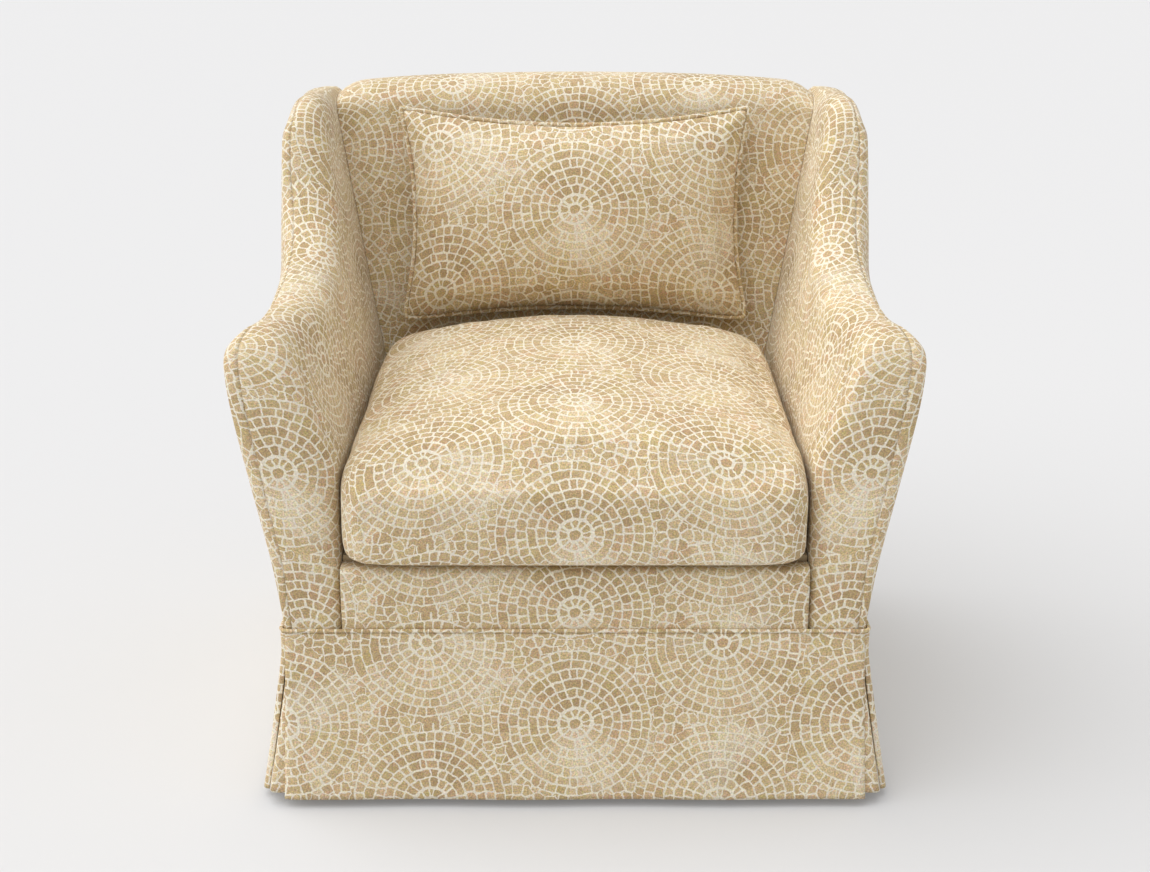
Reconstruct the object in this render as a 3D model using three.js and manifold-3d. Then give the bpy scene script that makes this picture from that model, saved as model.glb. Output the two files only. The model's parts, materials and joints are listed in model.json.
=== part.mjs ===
// Skirted slope-arm upholstered chair with a loose seat cushion and a loose lumbar pillow.
// Millimetres, +Z up. The origin is on the floor, in the middle of the plan; the front faces -Y.
// Left and right are as seen from the front: left is -X.

import * as THREE from "three";
import { mergeVertices } from "three/addons/utils/BufferGeometryUtils.js";
import Module from "manifold-3d";

const wasm = await Module();
wasm.setup();

// Driving dimensions

const armSpan = 814; // over the arm fronts, where they are widest
const waistSpan = 780; // over the arms between the front and the wing
const wingSpan = 802; // over the wings
const seamSpan = 712; // over the body at the skirt seam
const insideSpan = 569; // between the inside arms at the front of the seat
const insideTaper = 5.5; // how much nearer each inside arm stands at the back
const bodyDepth = 670; // front border to back frame, at shell floor height
const backLean = 0.073; // of the outside back, per unit of height
const insideBackY = 490; // front border to inside back, at deck height
const insideBackLean = 0.2015; // of the inside back, per unit of height

const shellFloor = 200; // lower edge of the covers, behind the skirt
const seamHeight = 227; // skirt seam
const armHeight = 599; // crest of the arm, at its front
const wingHeight = 829; // crest of the wing
const crestStep = 15; // crest of the back roll above the wings
const backHeight = wingHeight + crestStep;
const railBottom = 195;
const railTop = 290;
const deckPad = 26; // seat deck above the rails
const deckHeight = railTop + deckPad;
const hemHeight = 12; // skirt hem above the floor
const skirtFlare = 22; // how far the front hem stands out from the seam
const sideFlare = 31; // the same at the sides
const skirtThickness = 3;

const boardThickness = 25; // hardwood frame
const coverThickness = 8; // outside panels with their wadding
const backPanelThickness = 14;
const clearance = 0.3; // between pieces that touch
const gapSoft = 0.8; // between padded pieces that press on each other
const overrun = 20; // how far a cut runs past what it cuts

const rollRise = 60; // height of the back roll above its lower edge
const skirtGap = 0.7; // skirt to the covers behind it
const rippleHeight = 2.2; // soft waves in the hanging panels

// The plan is centred on what reaches furthest: the back roll's foot and the front hem
const rollLean = backLean * (backHeight - rollRise - shellFloor);
const rearReach = bodyDepth + rollLean + backPanelThickness + clearance;
const frontReach = skirtGap + skirtFlare + rippleHeight + skirtThickness;
const frontY = -(rearReach - frontReach) / 2;

const clamp01 = (t) => Math.min(1, Math.max(0, t));
const smooth = (t) => clamp01(t) * clamp01(t) * (3 - 2 * clamp01(t));
const lerp = (a, b, t) => a + (b - a) * t;

// Finishes

function finish(color, roughness, metalness = 0) {
  return new THREE.MeshStandardMaterial({ color, roughness, metalness });
}
const finishes = {
  fabric: finish(0xcfb78e, 0.92),
  lining: finish(0xe4d9c0, 0.95),
  hardwood: finish(0xb08a5c, 0.7),
  legWood: finish(0x4a3424, 0.5),
  steel: finish(0x8d9196, 0.35, 1),
  foam: finish(0xe9e0c4, 0.95),
  cambric: finish(0x24221f, 0.95),
  nylon: finish(0x2b2b2c, 0.5),
};

// Solids

function welded(geometry) {
  const bare = new THREE.BufferGeometry();
  const source = geometry.index ? geometry.toNonIndexed() : geometry;
  bare.setAttribute("position", source.getAttribute("position").clone());
  return mergeVertices(bare, 1e-3);
}

function solid(geometry) {
  const merged = welded(geometry);
  return new wasm.Manifold(
    new wasm.Mesh({
      numProp: 3,
      vertProperties: new Float32Array(merged.attributes.position.array),
      triVerts: new Uint32Array(merged.index.array),
    }),
  );
}

function geometryOf(manifold) {
  const mesh = manifold.getMesh();
  const count = mesh.numProp;
  const points = new Float32Array((mesh.vertProperties.length / count) * 3);
  for (let i = 0; i < points.length / 3; i++) {
    points.set(mesh.vertProperties.subarray(i * count, i * count + 3), i * 3);
  }
  const made = new THREE.BufferGeometry();
  made.setAttribute("position", new THREE.BufferAttribute(points, 3));
  made.setIndex(new THREE.BufferAttribute(new Uint32Array(mesh.triVerts), 1));
  return made;
}

const joined = (solids) => solids.reduce((all, next) => all.add(next));
const cutBy = (body, cutters) => cutters.reduce((left, cutter) => left.subtract(cutter), body);

// The largest single body of a cut, without the slivers that a cut can leave
const sliverSize = 0.01;
function mainBody(manifold) {
  const bodies = manifold.decompose();
  const largest = bodies.reduce((best, body) => (body.volume() > best.volume() ? body : best));
  return largest.asOriginal().simplify(sliverSize);
}

function meshGeometry(points, faces) {
  const made = new THREE.BufferGeometry();
  made.setAttribute("position", new THREE.Float32BufferAttribute(points.flat(), 3));
  made.setIndex(faces.flat());
  return made;
}

// A closed sheet between two surfaces given over u and v from 0 to 1; front faces outwards
// where u x v points out of the solid.
function slab(columns, rows, front, back) {
  const points = [];
  const faces = [];
  const at = (side, i, j) => (side * (columns + 1) + i) * (rows + 1) + j;
  for (const surface of [front, back]) {
    for (let i = 0; i <= columns; i++) {
      for (let j = 0; j <= rows; j++) points.push(surface(i / columns, j / rows));
    }
  }
  const quad = (a, b, c, d) => faces.push([a, b, c], [a, c, d]);
  for (let i = 0; i < columns; i++) {
    for (let j = 0; j < rows; j++) {
      quad(at(0, i, j), at(0, i + 1, j), at(0, i + 1, j + 1), at(0, i, j + 1));
      quad(at(1, i, j), at(1, i, j + 1), at(1, i + 1, j + 1), at(1, i + 1, j));
    }
    quad(at(0, i, 0), at(1, i, 0), at(1, i + 1, 0), at(0, i + 1, 0));
    quad(at(0, i, rows), at(0, i + 1, rows), at(1, i + 1, rows), at(1, i, rows));
  }
  for (let j = 0; j < rows; j++) {
    quad(at(0, 0, j), at(0, 0, j + 1), at(1, 0, j + 1), at(1, 0, j));
    quad(at(0, columns, j), at(1, columns, j), at(1, columns, j + 1), at(0, columns, j + 1));
  }
  return meshGeometry(points, faces);
}

// A closed tube round a loop of points; up is square to the plane of the loop
function loopTube(path, up, sides, radius) {
  const points = [];
  const faces = [];
  const steps = path.length;
  path.forEach((here, i) => {
    const next = new THREE.Vector3(...path[(i + 1) % steps]);
    const last = new THREE.Vector3(...path[(i + steps - 1) % steps]);
    const along = next.sub(last).normalize();
    const out = new THREE.Vector3().crossVectors(along, up).normalize();
    const rise = new THREE.Vector3().crossVectors(out, along);
    for (let k = 0; k < sides; k++) {
      const turn = (k / sides) * 2 * Math.PI;
      const point = new THREE.Vector3(...here)
        .addScaledVector(out, radius * Math.cos(turn))
        .addScaledVector(rise, radius * Math.sin(turn));
      points.push(point.toArray());
    }
  });
  for (let i = 0; i < steps; i++) {
    for (let k = 0; k < sides; k++) {
      const a = i * sides + k;
      const b = i * sides + ((k + 1) % sides);
      const c = ((i + 1) % steps) * sides + ((k + 1) % sides);
      const d = ((i + 1) % steps) * sides + k;
      faces.push([a, d, c], [a, c, b]);
    }
  }
  return meshGeometry(points, faces);
}

function boxBetween(low, high) {
  const size = high.map((value, axis) => value - low[axis]);
  const box = new THREE.BoxGeometry(...size);
  return box.translate(...high.map((value, axis) => (value + low[axis]) / 2));
}

function shapeOf(outline) {
  return new THREE.Shape(outline.map(([a, b]) => new THREE.Vector2(a, b)));
}

// Moves every edge of an outline outwards; outlines run anticlockwise
function offsetOutline(outline, distance) {
  const count = outline.length;
  return outline.map((point, i) => {
    const last = outline[(i + count - 1) % count];
    const next = outline[(i + 1) % count];
    const normal = ([ax, ay], [bx, by]) => {
      const length = Math.hypot(bx - ax, by - ay);
      return [(by - ay) / length, (ax - bx) / length];
    };
    const n1 = normal(last, point);
    const n2 = normal(point, next);
    const scale = distance / Math.max(1 + n1[0] * n2[0] + n1[1] * n2[1], distance / overrun);
    return [point[0] + (n1[0] + n2[0]) * scale, point[1] + (n1[1] + n2[1]) * scale];
  });
}

function mapPoints(geometry, mapping) {
  const position = geometry.getAttribute("position");
  for (let i = 0; i < position.count; i++) {
    position.setXYZ(i, ...mapping(position.getX(i), position.getY(i), position.getZ(i)));
  }
  return geometry;
}

function mirrored(geometry) {
  const copy = welded(geometry);
  mapPoints(copy, (x, y, z) => [-x, y, z]);
  const index = copy.index.array;
  for (let i = 0; i < index.length; i += 3) [index[i + 1], index[i + 2]] = [index[i + 2], index[i + 1]];
  return copy;
}

// Side walls: how far each layer stands out from the middle plane

const armThickness = 65.7; // of the whole side, at the crest of the arm front
const wingThickness = 46.2; // the same at the crest of the wing
const armShell = 33.4; // frame's middle plane to the outer face, at the crest of the arm front
const wingShell = 31.3; // the same at the crest of the wing
const seamShell = 34.5; // the same at the skirt seam
const insideLeanStart = 430; // height where the inside arm starts to lean out
const insideLeanFade = 250; // the front's steeper lean has faded at this depth
const frameFoot = seamSpan - 2 * seamShell;
const wallLeanStart = 238; // the outside arm stands up to here, and leans out above it
const shoulderHeight = 560; // and stands again above this height
const armFlareDepth = 150; // the flare of the arm front has faded at this depth
const wingFlareStart = 250;
const wingFlareDepth = 170;
const spineDepth = 510; // depth over which the inside taper runs

// Each surface leans so as to reach the arm's and the wing's crests with these thicknesses
const leanTo = (top, foot, height) => (top - foot) / height;
const insideLeanFront = leanTo(
  armSpan / 2 - armThickness,
  insideSpan / 2,
  armHeight - insideLeanStart,
);
const insideLeanRear = leanTo(
  wingSpan / 2 - wingThickness,
  insideSpan / 2 - insideTaper,
  wingHeight - insideLeanStart,
);
const frameLeanFront = leanTo(armSpan / 2 - armShell, frameFoot / 2, armHeight - seamHeight);
const frameLeanRear = leanTo(wingSpan / 2 - wingShell, frameFoot / 2, wingHeight - seamHeight);

function insideX(y, z) {
  const depth = y - frontY;
  const taper = insideTaper * clamp01(depth / spineDepth);
  const lean = lerp(insideLeanFront, insideLeanRear, smooth(depth / insideLeanFade));
  return insideSpan / 2 - taper + lean * Math.max(0, z - insideLeanStart);
}

function frameX(y, z) {
  const lean = lerp(frameLeanFront, frameLeanRear, clamp01((y - frontY) / bodyDepth));
  return frameFoot / 2 + lean * (z - seamHeight);
}

function outsideX(y, z) {
  const depth = y - frontY;
  const front = ((armSpan - waistSpan) / 2) * (1 - smooth(depth / armFlareDepth));
  const wing = ((wingSpan - waistSpan) / 2) * smooth((depth - wingFlareStart) / wingFlareDepth);
  const top = waistSpan / 2 + front + wing;
  const rise = clamp01((z - wallLeanStart) / (shoulderHeight - wallLeanStart));
  return lerp(seamSpan / 2, top, rise);
}

const rearFrameY = (z) => frontY + bodyDepth + backLean * (z - shellFloor);
const insideBackFaceY = (z) => frontY + insideBackY + insideBackLean * (z - deckHeight);

// The outline of arm and wing in side view: up the arm front, back along the arm, up the wing
// and over it to the rear. Depths are shares of armLength, heights of the two named crests.

const armLength = 490; // from the border to the front of the wing's crest
const armRise = armHeight - shellFloor;
const wingRise = wingHeight - armHeight;
const frontOutlineShares = [
  [-0.006, 0.55],
  [-0.002, 0.86],
  [0.026, 0.962],
  [0.09, 0.998],
  [0.22, 1.002],
];
const wingOutlineShares = [
  [0.5, 0.087],
  [0.68, 0.22],
  [0.8, 0.44],
  [0.858, 0.7],
  [0.91, 0.895],
  [1, 0.983],
  [1.14, 1],
];
const rearRound = 26; // reach of the wing's eased rear top corner
const rearDrop = 5; // how far it falls there

const outlinePoints = [
  [frontY, shellFloor],
  [frontY, wallLeanStart],
  ...frontOutlineShares.map(([a, b]) => [frontY + a * armLength, shellFloor + b * armRise]),
  ...wingOutlineShares.map(([a, b]) => [frontY + a * armLength, armHeight + b * wingRise]),
  [rearFrameY(wingHeight) - 2 * rearRound, wingHeight],
  [rearFrameY(wingHeight) - rearRound, wingHeight - rearDrop / 4],
  [rearFrameY(wingHeight), wingHeight - rearDrop],
];
const outlineCurve = new THREE.CatmullRomCurve3(
  outlinePoints.map(([y, z]) => new THREE.Vector3(0, y, z)),
  false,
  "centripetal",
);

// The first column of the side's surface ends where the wall starts to lean
const sideColumns = 25;
function outlineShare(u) {
  const first = 1 / (outlinePoints.length - 1);
  const column = 1 / sideColumns;
  return u < column ? (u / column) * first : lerp(first, 1, (u - column) / (1 - column));
}

// A point at a depth under the outline, measured square to it, towards the middle of the side
function underOutline(u, depth) {
  const point = outlineCurve.getPoint(outlineShare(u));
  const along = outlineCurve.getTangent(outlineShare(u));
  return [point.y + along.z * depth, point.z - along.y * depth];
}

// Where the side's surface runs out: along the bottom, then up the rear
const footStart = 50;
const cornerShare = 0.66;
function innerEnd(u) {
  const low = frontY + footStart;
  if (u < cornerShare) {
    return [lerp(low, rearFrameY(shellFloor), u / cornerShare), shellFloor];
  }
  const top = wingHeight - 2 * rearRound - noseDepth;
  const z = lerp(shellFloor, top, (u - cornerShare) / (1 - cornerShare));
  return [rearFrameY(z), z];
}

// The rounded edge: how much of the half thickness is there at a depth under the outline.
// At the foot of the arm front the corners are squarer, to meet the border and the skirt.
const noseDepth = 34;
const nosePower = 2.5;
const footPower = 6;
const footHeight = 232; // the corners are square up to here
const footFade = 90; // height over which they grow round
const noseShares = [0, 0.06, 0.22, 0.5, 1];
function fullness(depth, z) {
  const left = 1 - clamp01(depth / noseDepth);
  const power = lerp(footPower, nosePower, smooth((z - footHeight) / footFade));
  return (1 - left ** power) ** (1 / power);
}

const faceRows = 3;
const leastKinkShare = 0.06;
const edgeThickness = 1;

// A side surface point in plan and height, with its fullness: rows 0 to 4 round the edge,
// and the rest runs to the inner end, with a row where the wall starts to lean. A cutter's
// first row lies a little outside.
function sidePoint(u, row, startDepth = 0, grow = 0) {
  const noseRows = noseShares.length - 1;
  if (row <= noseRows) {
    const depth = lerp(startDepth, noseDepth, noseShares[row]);
    const [y, z] = underOutline(u, row ? depth : depth - grow);
    return [y, z, fullness(depth, z)];
  }
  const [y1, z1] = underOutline(u, noseDepth);
  const [y2, z2] = innerEnd(u);
  const leans = z2 < wallLeanStart && z1 > (wallLeanStart + shellFloor) / 2;
  const kink = Math.max(leastKinkShare, (z1 - wallLeanStart) / (z1 - z2));
  const bend = leans ? kink : 1 - 1 / faceRows;
  const step = row - noseRows;
  const t = step === faceRows ? 1 : (bend * step) / (faceRows - 1);
  return [lerp(y1, y2, t), lerp(z1, z2, t), 1];
}

const sideRows = noseShares.length - 1 + faceRows;

function wholeArm() {
  const outer = (u, v) => {
    const [y, z, full] = sidePoint(u, Math.round(v * sideRows));
    const middle = frameX(y, z);
    return [middle + edgeThickness / 2 + (outsideX(y, z) - middle) * full, y, z];
  };
  const inner = (u, v) => {
    const [y, z, full] = sidePoint(u, Math.round(v * sideRows));
    const middle = frameX(y, z);
    return [middle - edgeThickness / 2 - (middle - insideX(y, z)) * full, y, z];
  };
  return slab(sideColumns, sideRows, inner, outer);
}

// The outside panel starts at the crest on the wing and arm, and behind the corner at the front
const frontSeamDepth = 9;
const wrap = 2; // the inside cover where it wraps onto the outer face of the boards
const frontSeamFade = 70;
function seamDepth(u) {
  const z = outlineCurve.getPoint(outlineShare(u)).z;
  return frontSeamDepth * smooth((armHeight - z) / frontSeamFade);
}

function outsidePanel(grow) {
  const place = (u, v, lift) => {
    const [y, z, full] = sidePoint(u, Math.round(v * sideRows), seamDepth(u), lift);
    const middle = frameX(y, z);
    return [middle + edgeThickness / 2 + (outsideX(y, z) - middle) * full + grow, y, z];
  };
  const below = ([x, y, z]) => [x, y, grow && z < shellFloor + grow ? z - overrun : z];
  const outer = (u, v) => below(place(u, v, grow));
  const inner = (u, v) => {
    const [x, y, z] = place(u, v, 0);
    const room = outsideX(y, z) - frameX(y, z) - boardThickness / 2 - 2 * clearance - wrap;
    return below([x - Math.min(coverThickness, room) - 3 * grow, y, z]);
  };
  return slab(sideColumns, sideRows, inner, outer);
}

// Side boards lie in the leaning plane of the frame: an outline in y and z, between two
// distances from that plane. An upright is flat: it has the lean of its own depth.
function sideBoard(outline, inner, outer, upright) {
  const extruded = new THREE.ExtrudeGeometry(shapeOf(outline), {
    depth: outer - inner,
    bevelEnabled: false,
  });
  return mapPoints(extruded, (a, b, c) => [frameX(upright ?? a, b) + inner + c, a, b]);
}

const half = boardThickness / 2;
const postFront = 12; // border face to arm post
const postWidth = 50;
const stileStart = 405;
const stileWidth = 42;
const railBand = 40; // width of the contour rail
const railUnder = 13; // crest to contour rail
const tackRise = 45; // arm tack rails above the side rails
const tackHeight = railTop + tackRise;
const tackWidth = 30;
const padThickness = 55; // inside back
const postInset = 54; // back posts end below the back roll's crest
const postTop = backHeight - postInset;
const contourSteps = 20;
const contourStartShare = 0.27; // of the outline, where the contour rail starts and ends
const contourEndShare = 0.915;
const twistRoom = 2.5; // clearances left beside the contour rail, which follows a twisted wall

const postRear = frontY + postFront + postWidth;
const stileFront = frontY + stileStart;
const backPostFoot = railBottom;

const boardOutlines = {
  arm_post: () => {
    const top = armHeight - railUnder - railBand - clearance;
    const front = frontY + postFront;
    return [
      [front, railBottom],
      [postRear, railBottom],
      [postRear, top],
      [front, top],
    ];
  },
  contour_rail: () => {
    const upper = [];
    const lower = [];
    for (let i = 0; i <= contourSteps; i++) {
      const u = lerp(contourStartShare, contourEndShare, i / contourSteps);
      upper.push(underOutline(u, railUnder));
      lower.push(underOutline(u, railUnder + railBand));
    }
    const foot = frontY + postFront;
    const top = armHeight - railUnder - railBand;
    const keepLow = lower.filter(([y]) => y > postRear);
    const keepUp = upper.filter(([y, z]) => z > top);
    return [[foot, top], [postRear, top], ...keepLow, ...keepUp.reverse()];
  },
  wing_stile: () => {
    const rear = stileFront + stileWidth;
    const top = armHeight + wingRise / 2;
    return [
      [stileFront, railTop + clearance],
      [rear, railTop + clearance],
      [rear, top],
      [stileFront, top],
    ];
  },
  side_rail: () => [
    [postRear + clearance, railBottom],
    [backPostFront(railBottom) - clearance, railBottom],
    [backPostFront(railTop) - clearance, railTop],
    [postRear + clearance, railTop],
  ],
  arm_tack_rail: () => [
    [postRear + clearance, tackHeight],
    [stileFront - clearance, tackHeight],
    [stileFront - clearance, tackHeight + tackWidth],
    [postRear + clearance, tackHeight + tackWidth],
  ],
  back_post: () => [
    [backPostFront(backPostFoot), backPostFoot],
    [rearFrameY(backPostFoot), backPostFoot],
    [rearFrameY(postTop), postTop],
    [backPostFront(postTop), postTop],
  ],
};

function backPostFront(z) {
  return insideBackFaceY(z) + padThickness + clearance;
}

const backPostMiddle = (backPostFront(tackHeight) + rearFrameY(tackHeight)) / 2;
const uprights = {
  arm_post: frontY + postFront + postWidth / 2,
  wing_stile: stileFront + stileWidth / 2,
  back_post: backPostMiddle,
};
const boardNames = Object.keys(boardOutlines);
const sideBoards = (grow) =>
  boardNames.map((name) => {
    const outline = offsetOutline(boardOutlines[name](), grow);
    const reach = half + grow * (name === "contour_rail" ? twistRoom : 1);
    return sideBoard(outline, -reach, reach, uprights[name]);
  });
const grownSolids = sideBoards(clearance).map(solid);
const grownBoards = joined(grownSolids);

// The stile ends under the contour rail, and the rail is notched over the back post
const seats = { wing_stile: "contour_rail", contour_rail: "back_post" };
const boards = sideBoards(0).map((board, i) => {
  const seat = seats[boardNames[i]];
  if (!seat) return board;
  return geometryOf(mainBody(solid(board).subtract(grownSolids[boardNames.indexOf(seat)])));
});

// The inside arm wraps over the boards. Behind the boards' inner face, and below the rails,
// it is open.
const hollowStep = 4; // the hollow starts this far inside the boards' outline
function insideArm() {
  const depth = railUnder + railBand - hollowStep;
  const share = (row) => row / (faceRows - 1);
  const reach = (u, v) => {
    const [y1, z1] = underOutline(u, depth);
    const [y2, z2] = innerEnd(u);
    const [dy, dz] = [y2 - y1, z2 - z1];
    const over = 1 + overrun / Math.max(Math.hypot(dy, dz), overrun);
    const t = share(Math.round(v * (faceRows - 1))) * over;
    return [y1 + dy * t, z1 + dz * t];
  };
  const hollowInner = (u, v) => {
    const [y, z] = reach(u, v);
    return [frameX(y, z) - half + hollowStep, y, z];
  };
  const hollowOuter = (u, v) => {
    const [y, z] = reach(u, v);
    return [outsideX(y, z) + overrun, y, z];
  };
  const hollow = slab(sideColumns, faceRows - 1, hollowInner, hollowOuter);
  const borderRear = frontY + borderThickness;
  const seatRoom = boxBetween(
    [0, borderRear, shellFloor - overrun],
    [armSpan, -frontY + bodyDepth, railTop + clearance],
  );
  const roomTop = wingHeight - noseDepth - railUnder;
  const behindBack = [
    [insideBackFaceY(shellFloor) + padThickness, shellFloor],
    [rearFrameY(shellFloor) + overrun, shellFloor],
    [rearFrameY(roomTop) + overrun, roomTop],
    [insideBackFaceY(roomTop) + padThickness, roomTop],
  ];
  const backRoom = sideBoard(behindBack, -insideSpan / 2, -half - clearance, uprights.back_post);
  const body = cutBy(solid(wholeArm()), [
    grownBoards,
    solid(outsidePanel(clearance)),
    solid(hollow),
    solid(seatRoom),
    solid(backRoom),
  ]);
  return geometryOf(mainBody(body));
}

function outsideArm() {
  const body = cutBy(solid(outsidePanel(0)), [grownBoards]);
  return geometryOf(mainBody(body));
}

// Inside back: an even pad up the front, and a roll over the top rail

const rollCrownDrop = 13; // how much lower the crest is at its ends
const backCrown = 8; // how far the middle of the inside back stands forward
const backRoundShare = 0.12;
const rollWall = 42;
const rollPower = 0.8; // below 1 the roll is fuller than an ellipse
const rollRows = 8;
const backRows = 6;
const wallFadeRows = 2; // the pad thins to the roll's wall over the last rows of the front
const rollBase = backHeight - rollRise;
const rollFront = insideBackFaceY(rollBase);
const rollRear = rearFrameY(rollBase) + backPanelThickness;

function backHalfWidth(y, z) {
  return insideX(y, Math.min(z, wingHeight)) - gapSoft;
}

function insideBackPoint(u, v, inset) {
  const across = 2 * u - 1;
  const rows = rollRows + backRows;
  const row = v * rows;
  const end = 1 - Math.abs(across);
  const crown = backCrown * (1 - across * across);
  const edge = 1 - (1 - clamp01(end / backRoundShare)) ** 2;
  let y;
  let z;
  if (row <= backRows) {
    z = lerp(deckHeight + clearance, rollBase, row / backRows);
    const bulge = crown * Math.sin((Math.PI * row) / backRows);
    const fade = smooth((row - backRows + wallFadeRows) / wallFadeRows);
    const wall = lerp(padThickness, rollWall, fade);
    y = insideBackFaceY(z) - bulge + inset * wall;
  } else {
    const turn = (Math.PI * (row - backRows)) / rollRows;
    const reach = (rollRear - rollFront) / 2 - inset * rollWall;
    const drop = rollCrownDrop * across ** 4 + (1 - edge) * rollCrownDrop;
    const rise = rollRise - inset * (rollWall + clearance) - drop * (1 - inset);
    y = (rollRear + rollFront) / 2 - reach * Math.cos(turn);
    z = rollBase + rise * Math.sin(turn) ** rollPower;
  }
  return [across * backHalfWidth(y, z), y, z];
}

const backColumns = 14;
const endClearance = 0.4; // cross rails to the posts

// Rails across the back and front: an outline in x and z between two depths
function crossRail(low, high, front, thickness, lean, post, grow = 0) {
  const end = (z) => frameX(post, z) - half - endClearance + grow;
  const outline = [
    [-end(low - grow), low - grow],
    [end(low - grow), low - grow],
    [end(high + grow), high + grow],
    [-end(high + grow), high + grow],
  ];
  const extruded = new THREE.ExtrudeGeometry(shapeOf(outline), {
    depth: thickness + 2 * grow,
    bevelEnabled: false,
  });
  const rear = front + thickness + grow;
  return mapPoints(extruded, (a, b, c) => [a, rear - c + lean * (b - low), b]);
}

const topRailInset = 70; // back top rail below the back roll's crest
const topRailHeight = 56;
const topRailHigh = backHeight - topRailInset;
const topRailLow = topRailHigh - topRailHeight;
const crossThickness = 26;
const borderThickness = 17.7;
const backTackRise = 55; // back tack rail above the back rail
const backTackLow = railTop + backTackRise;
const backRailInset = 60; // back rail behind the inside back's rear face

const topRail = (grow) =>
  crossRail(
    topRailLow,
    topRailHigh,
    backPostFront(topRailLow),
    crossThickness,
    insideBackLean,
    backPostMiddle,
    grow,
  );
const backTackRail = () =>
  crossRail(
    backTackLow,
    backTackLow + tackWidth,
    backPostFront(backTackLow),
    crossThickness,
    insideBackLean,
    backPostMiddle,
  );

function insideBack() {
  const pad = slab(
    backColumns,
    rollRows + backRows,
    (u, v) => insideBackPoint(u, v, 0),
    (u, v) => insideBackPoint(u, v, 1),
  );
  return geometryOf(mainBody(cutBy(solid(pad), [solid(topRail(clearance))])));
}

const panelEdgeShare = 0.35; // of its thickness, left at the outside back's upright edges
const panelEdgePower = 10;
function outsideBack() {
  const columns = 12;
  const rows = 5;
  const inset = coverThickness / 2;
  const place = (u, v, layer) => {
    const z = lerp(shellFloor, rollBase - clearance, v);
    const across = 2 * u - 1;
    const edge = 1 - Math.abs(across) ** panelEdgePower;
    const thickness = backPanelThickness * lerp(panelEdgeShare, 1, edge);
    const y = rearFrameY(z) + clearance + layer * thickness;
    return [across * (outsideX(rearFrameY(z), z) - inset), y, z];
  };
  return slab(columns, rows, (u, v) => place(u, v, 0), (u, v) => place(u, v, 1));
}

// Seat frame

const wireRadius = 1.9;
const springCount = 5;
const springSpacing = 104;
const springSwing = 24; // half the width of a spring's loops
const springLoops = 8;
const springCrown = 6;
const clipLength = 12;
const clipWidth = 17;
const clipWall = 2.4;

const frontRailY = frontY + borderThickness + clearance;
const frontRailDepth = 28;
const backRailY = backPostFront(railTop) + backRailInset;
const wireHeight = railTop + wireRadius + clearance;
const springXs = Array.from(
  { length: springCount },
  (_, i) => (i - (springCount - 1) / 2) * springSpacing,
);
const frontWireEnd = frontRailY + frontRailDepth - clipLength;
const backWireEnd = backRailY + clipLength;

// A rail with the clips that hold the springs: each clip bridges the end of one wire
function springRail(front, thickness, clipCentre, post) {
  const rail = solid(crossRail(railBottom, railTop, front, thickness, 0, post));
  const reach = wireRadius + clearance;
  const clips = springXs.map((x) => {
    const arch = boxBetween(
      [x - clipWidth / 2, clipCentre - clipLength / 2, railTop - clipWall],
      [x + clipWidth / 2, clipCentre + clipLength / 2, wireHeight + reach + clipWall],
    );
    const tunnel = boxBetween(
      [x - reach, clipCentre - clipLength, railTop],
      [x + reach, clipCentre + clipLength, wireHeight + reach],
    );
    return solid(arch).subtract(solid(tunnel));
  });
  return geometryOf(rail.add(joined(clips)));
}

// A sinuous spring: one wire that swings from side to side and is arched up in the middle.
// Each loop is drawn by three points, given as shares of its pitch along and of its swing.
const loopShares = [
  [0.16, 0.72],
  [0.5, 1],
  [0.84, 0.72],
];
const wireEndShare = 0.8; // the wire stays straight for this part of its end
function seatSpring(x) {
  const points = [];
  const first = frontWireEnd - clipLength / 3;
  const last = backWireEnd + clipLength / 3;
  const swingStart = frontRailY + frontRailDepth + clipLength / 2;
  const swingEnd = backRailY - clipLength / 2;
  const height = (y) => {
    const t = clamp01((y - swingStart) / (swingEnd - swingStart));
    return wireHeight + springCrown * Math.sin(Math.PI * t);
  };
  const add = (swing, y) => points.push(new THREE.Vector3(x + swing, y, height(y)));
  add(0, first);
  add(0, lerp(first, swingStart, wireEndShare));
  const halves = 2 * springLoops;
  const pitch = (swingEnd - swingStart) / halves;
  for (let i = 0; i < halves; i++) {
    const side = (i % 2 ? 1 : -1) * springSwing;
    loopShares.forEach(([along, swing]) => add(side * swing, swingStart + pitch * (i + along)));
  }
  add(0, lerp(last, swingEnd, wireEndShare));
  add(0, last);
  const path = new THREE.CatmullRomCurve3(points, false, "centripetal");
  const section = new THREE.Shape();
  const sides = 4;
  for (let k = 0; k < sides; k++) {
    const turn = ((k + 0.5) / sides) * 2 * Math.PI;
    const place = [wireRadius * Math.cos(turn), wireRadius * Math.sin(turn)];
    if (k) section.lineTo(...place);
    else section.moveTo(...place);
  }
  return new THREE.ExtrudeGeometry(section, {
    steps: springLoops * 7,
    bevelEnabled: false,
    extrudePath: path,
  });
}

// Corner blocks: three-sided, glued into the corners between the rails
const blockLeg = 82;
const blockInset = 8; // below the rail tops
const boardLeanAllowance = 0.5; // the side board twists a little along the block
function cornerBlock(atRear) {
  const inner = -half - clearance;
  const start = atRear ? backRailY - clearance : frontRailY + frontRailDepth + clearance;
  const turn = atRear ? -1 : 1;
  const outline = [
    [0, 0],
    [-blockLeg, 0],
    [0, turn * blockLeg],
  ];
  const ordered = atRear ? outline : [outline[0], outline[2], outline[1]];
  const height = railTop - blockInset - railBottom;
  const extruded = new THREE.ExtrudeGeometry(shapeOf(ordered), {
    depth: height,
    bevelEnabled: false,
  });
  const tallest = (y, z) => frameX(y, z) + inner;
  return mapPoints(extruded, (a, b, c) => {
    const z = railBottom + c;
    const y = start + b;
    return [tallest(start, z) - boardLeanAllowance + a, y, z];
  });
}

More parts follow.
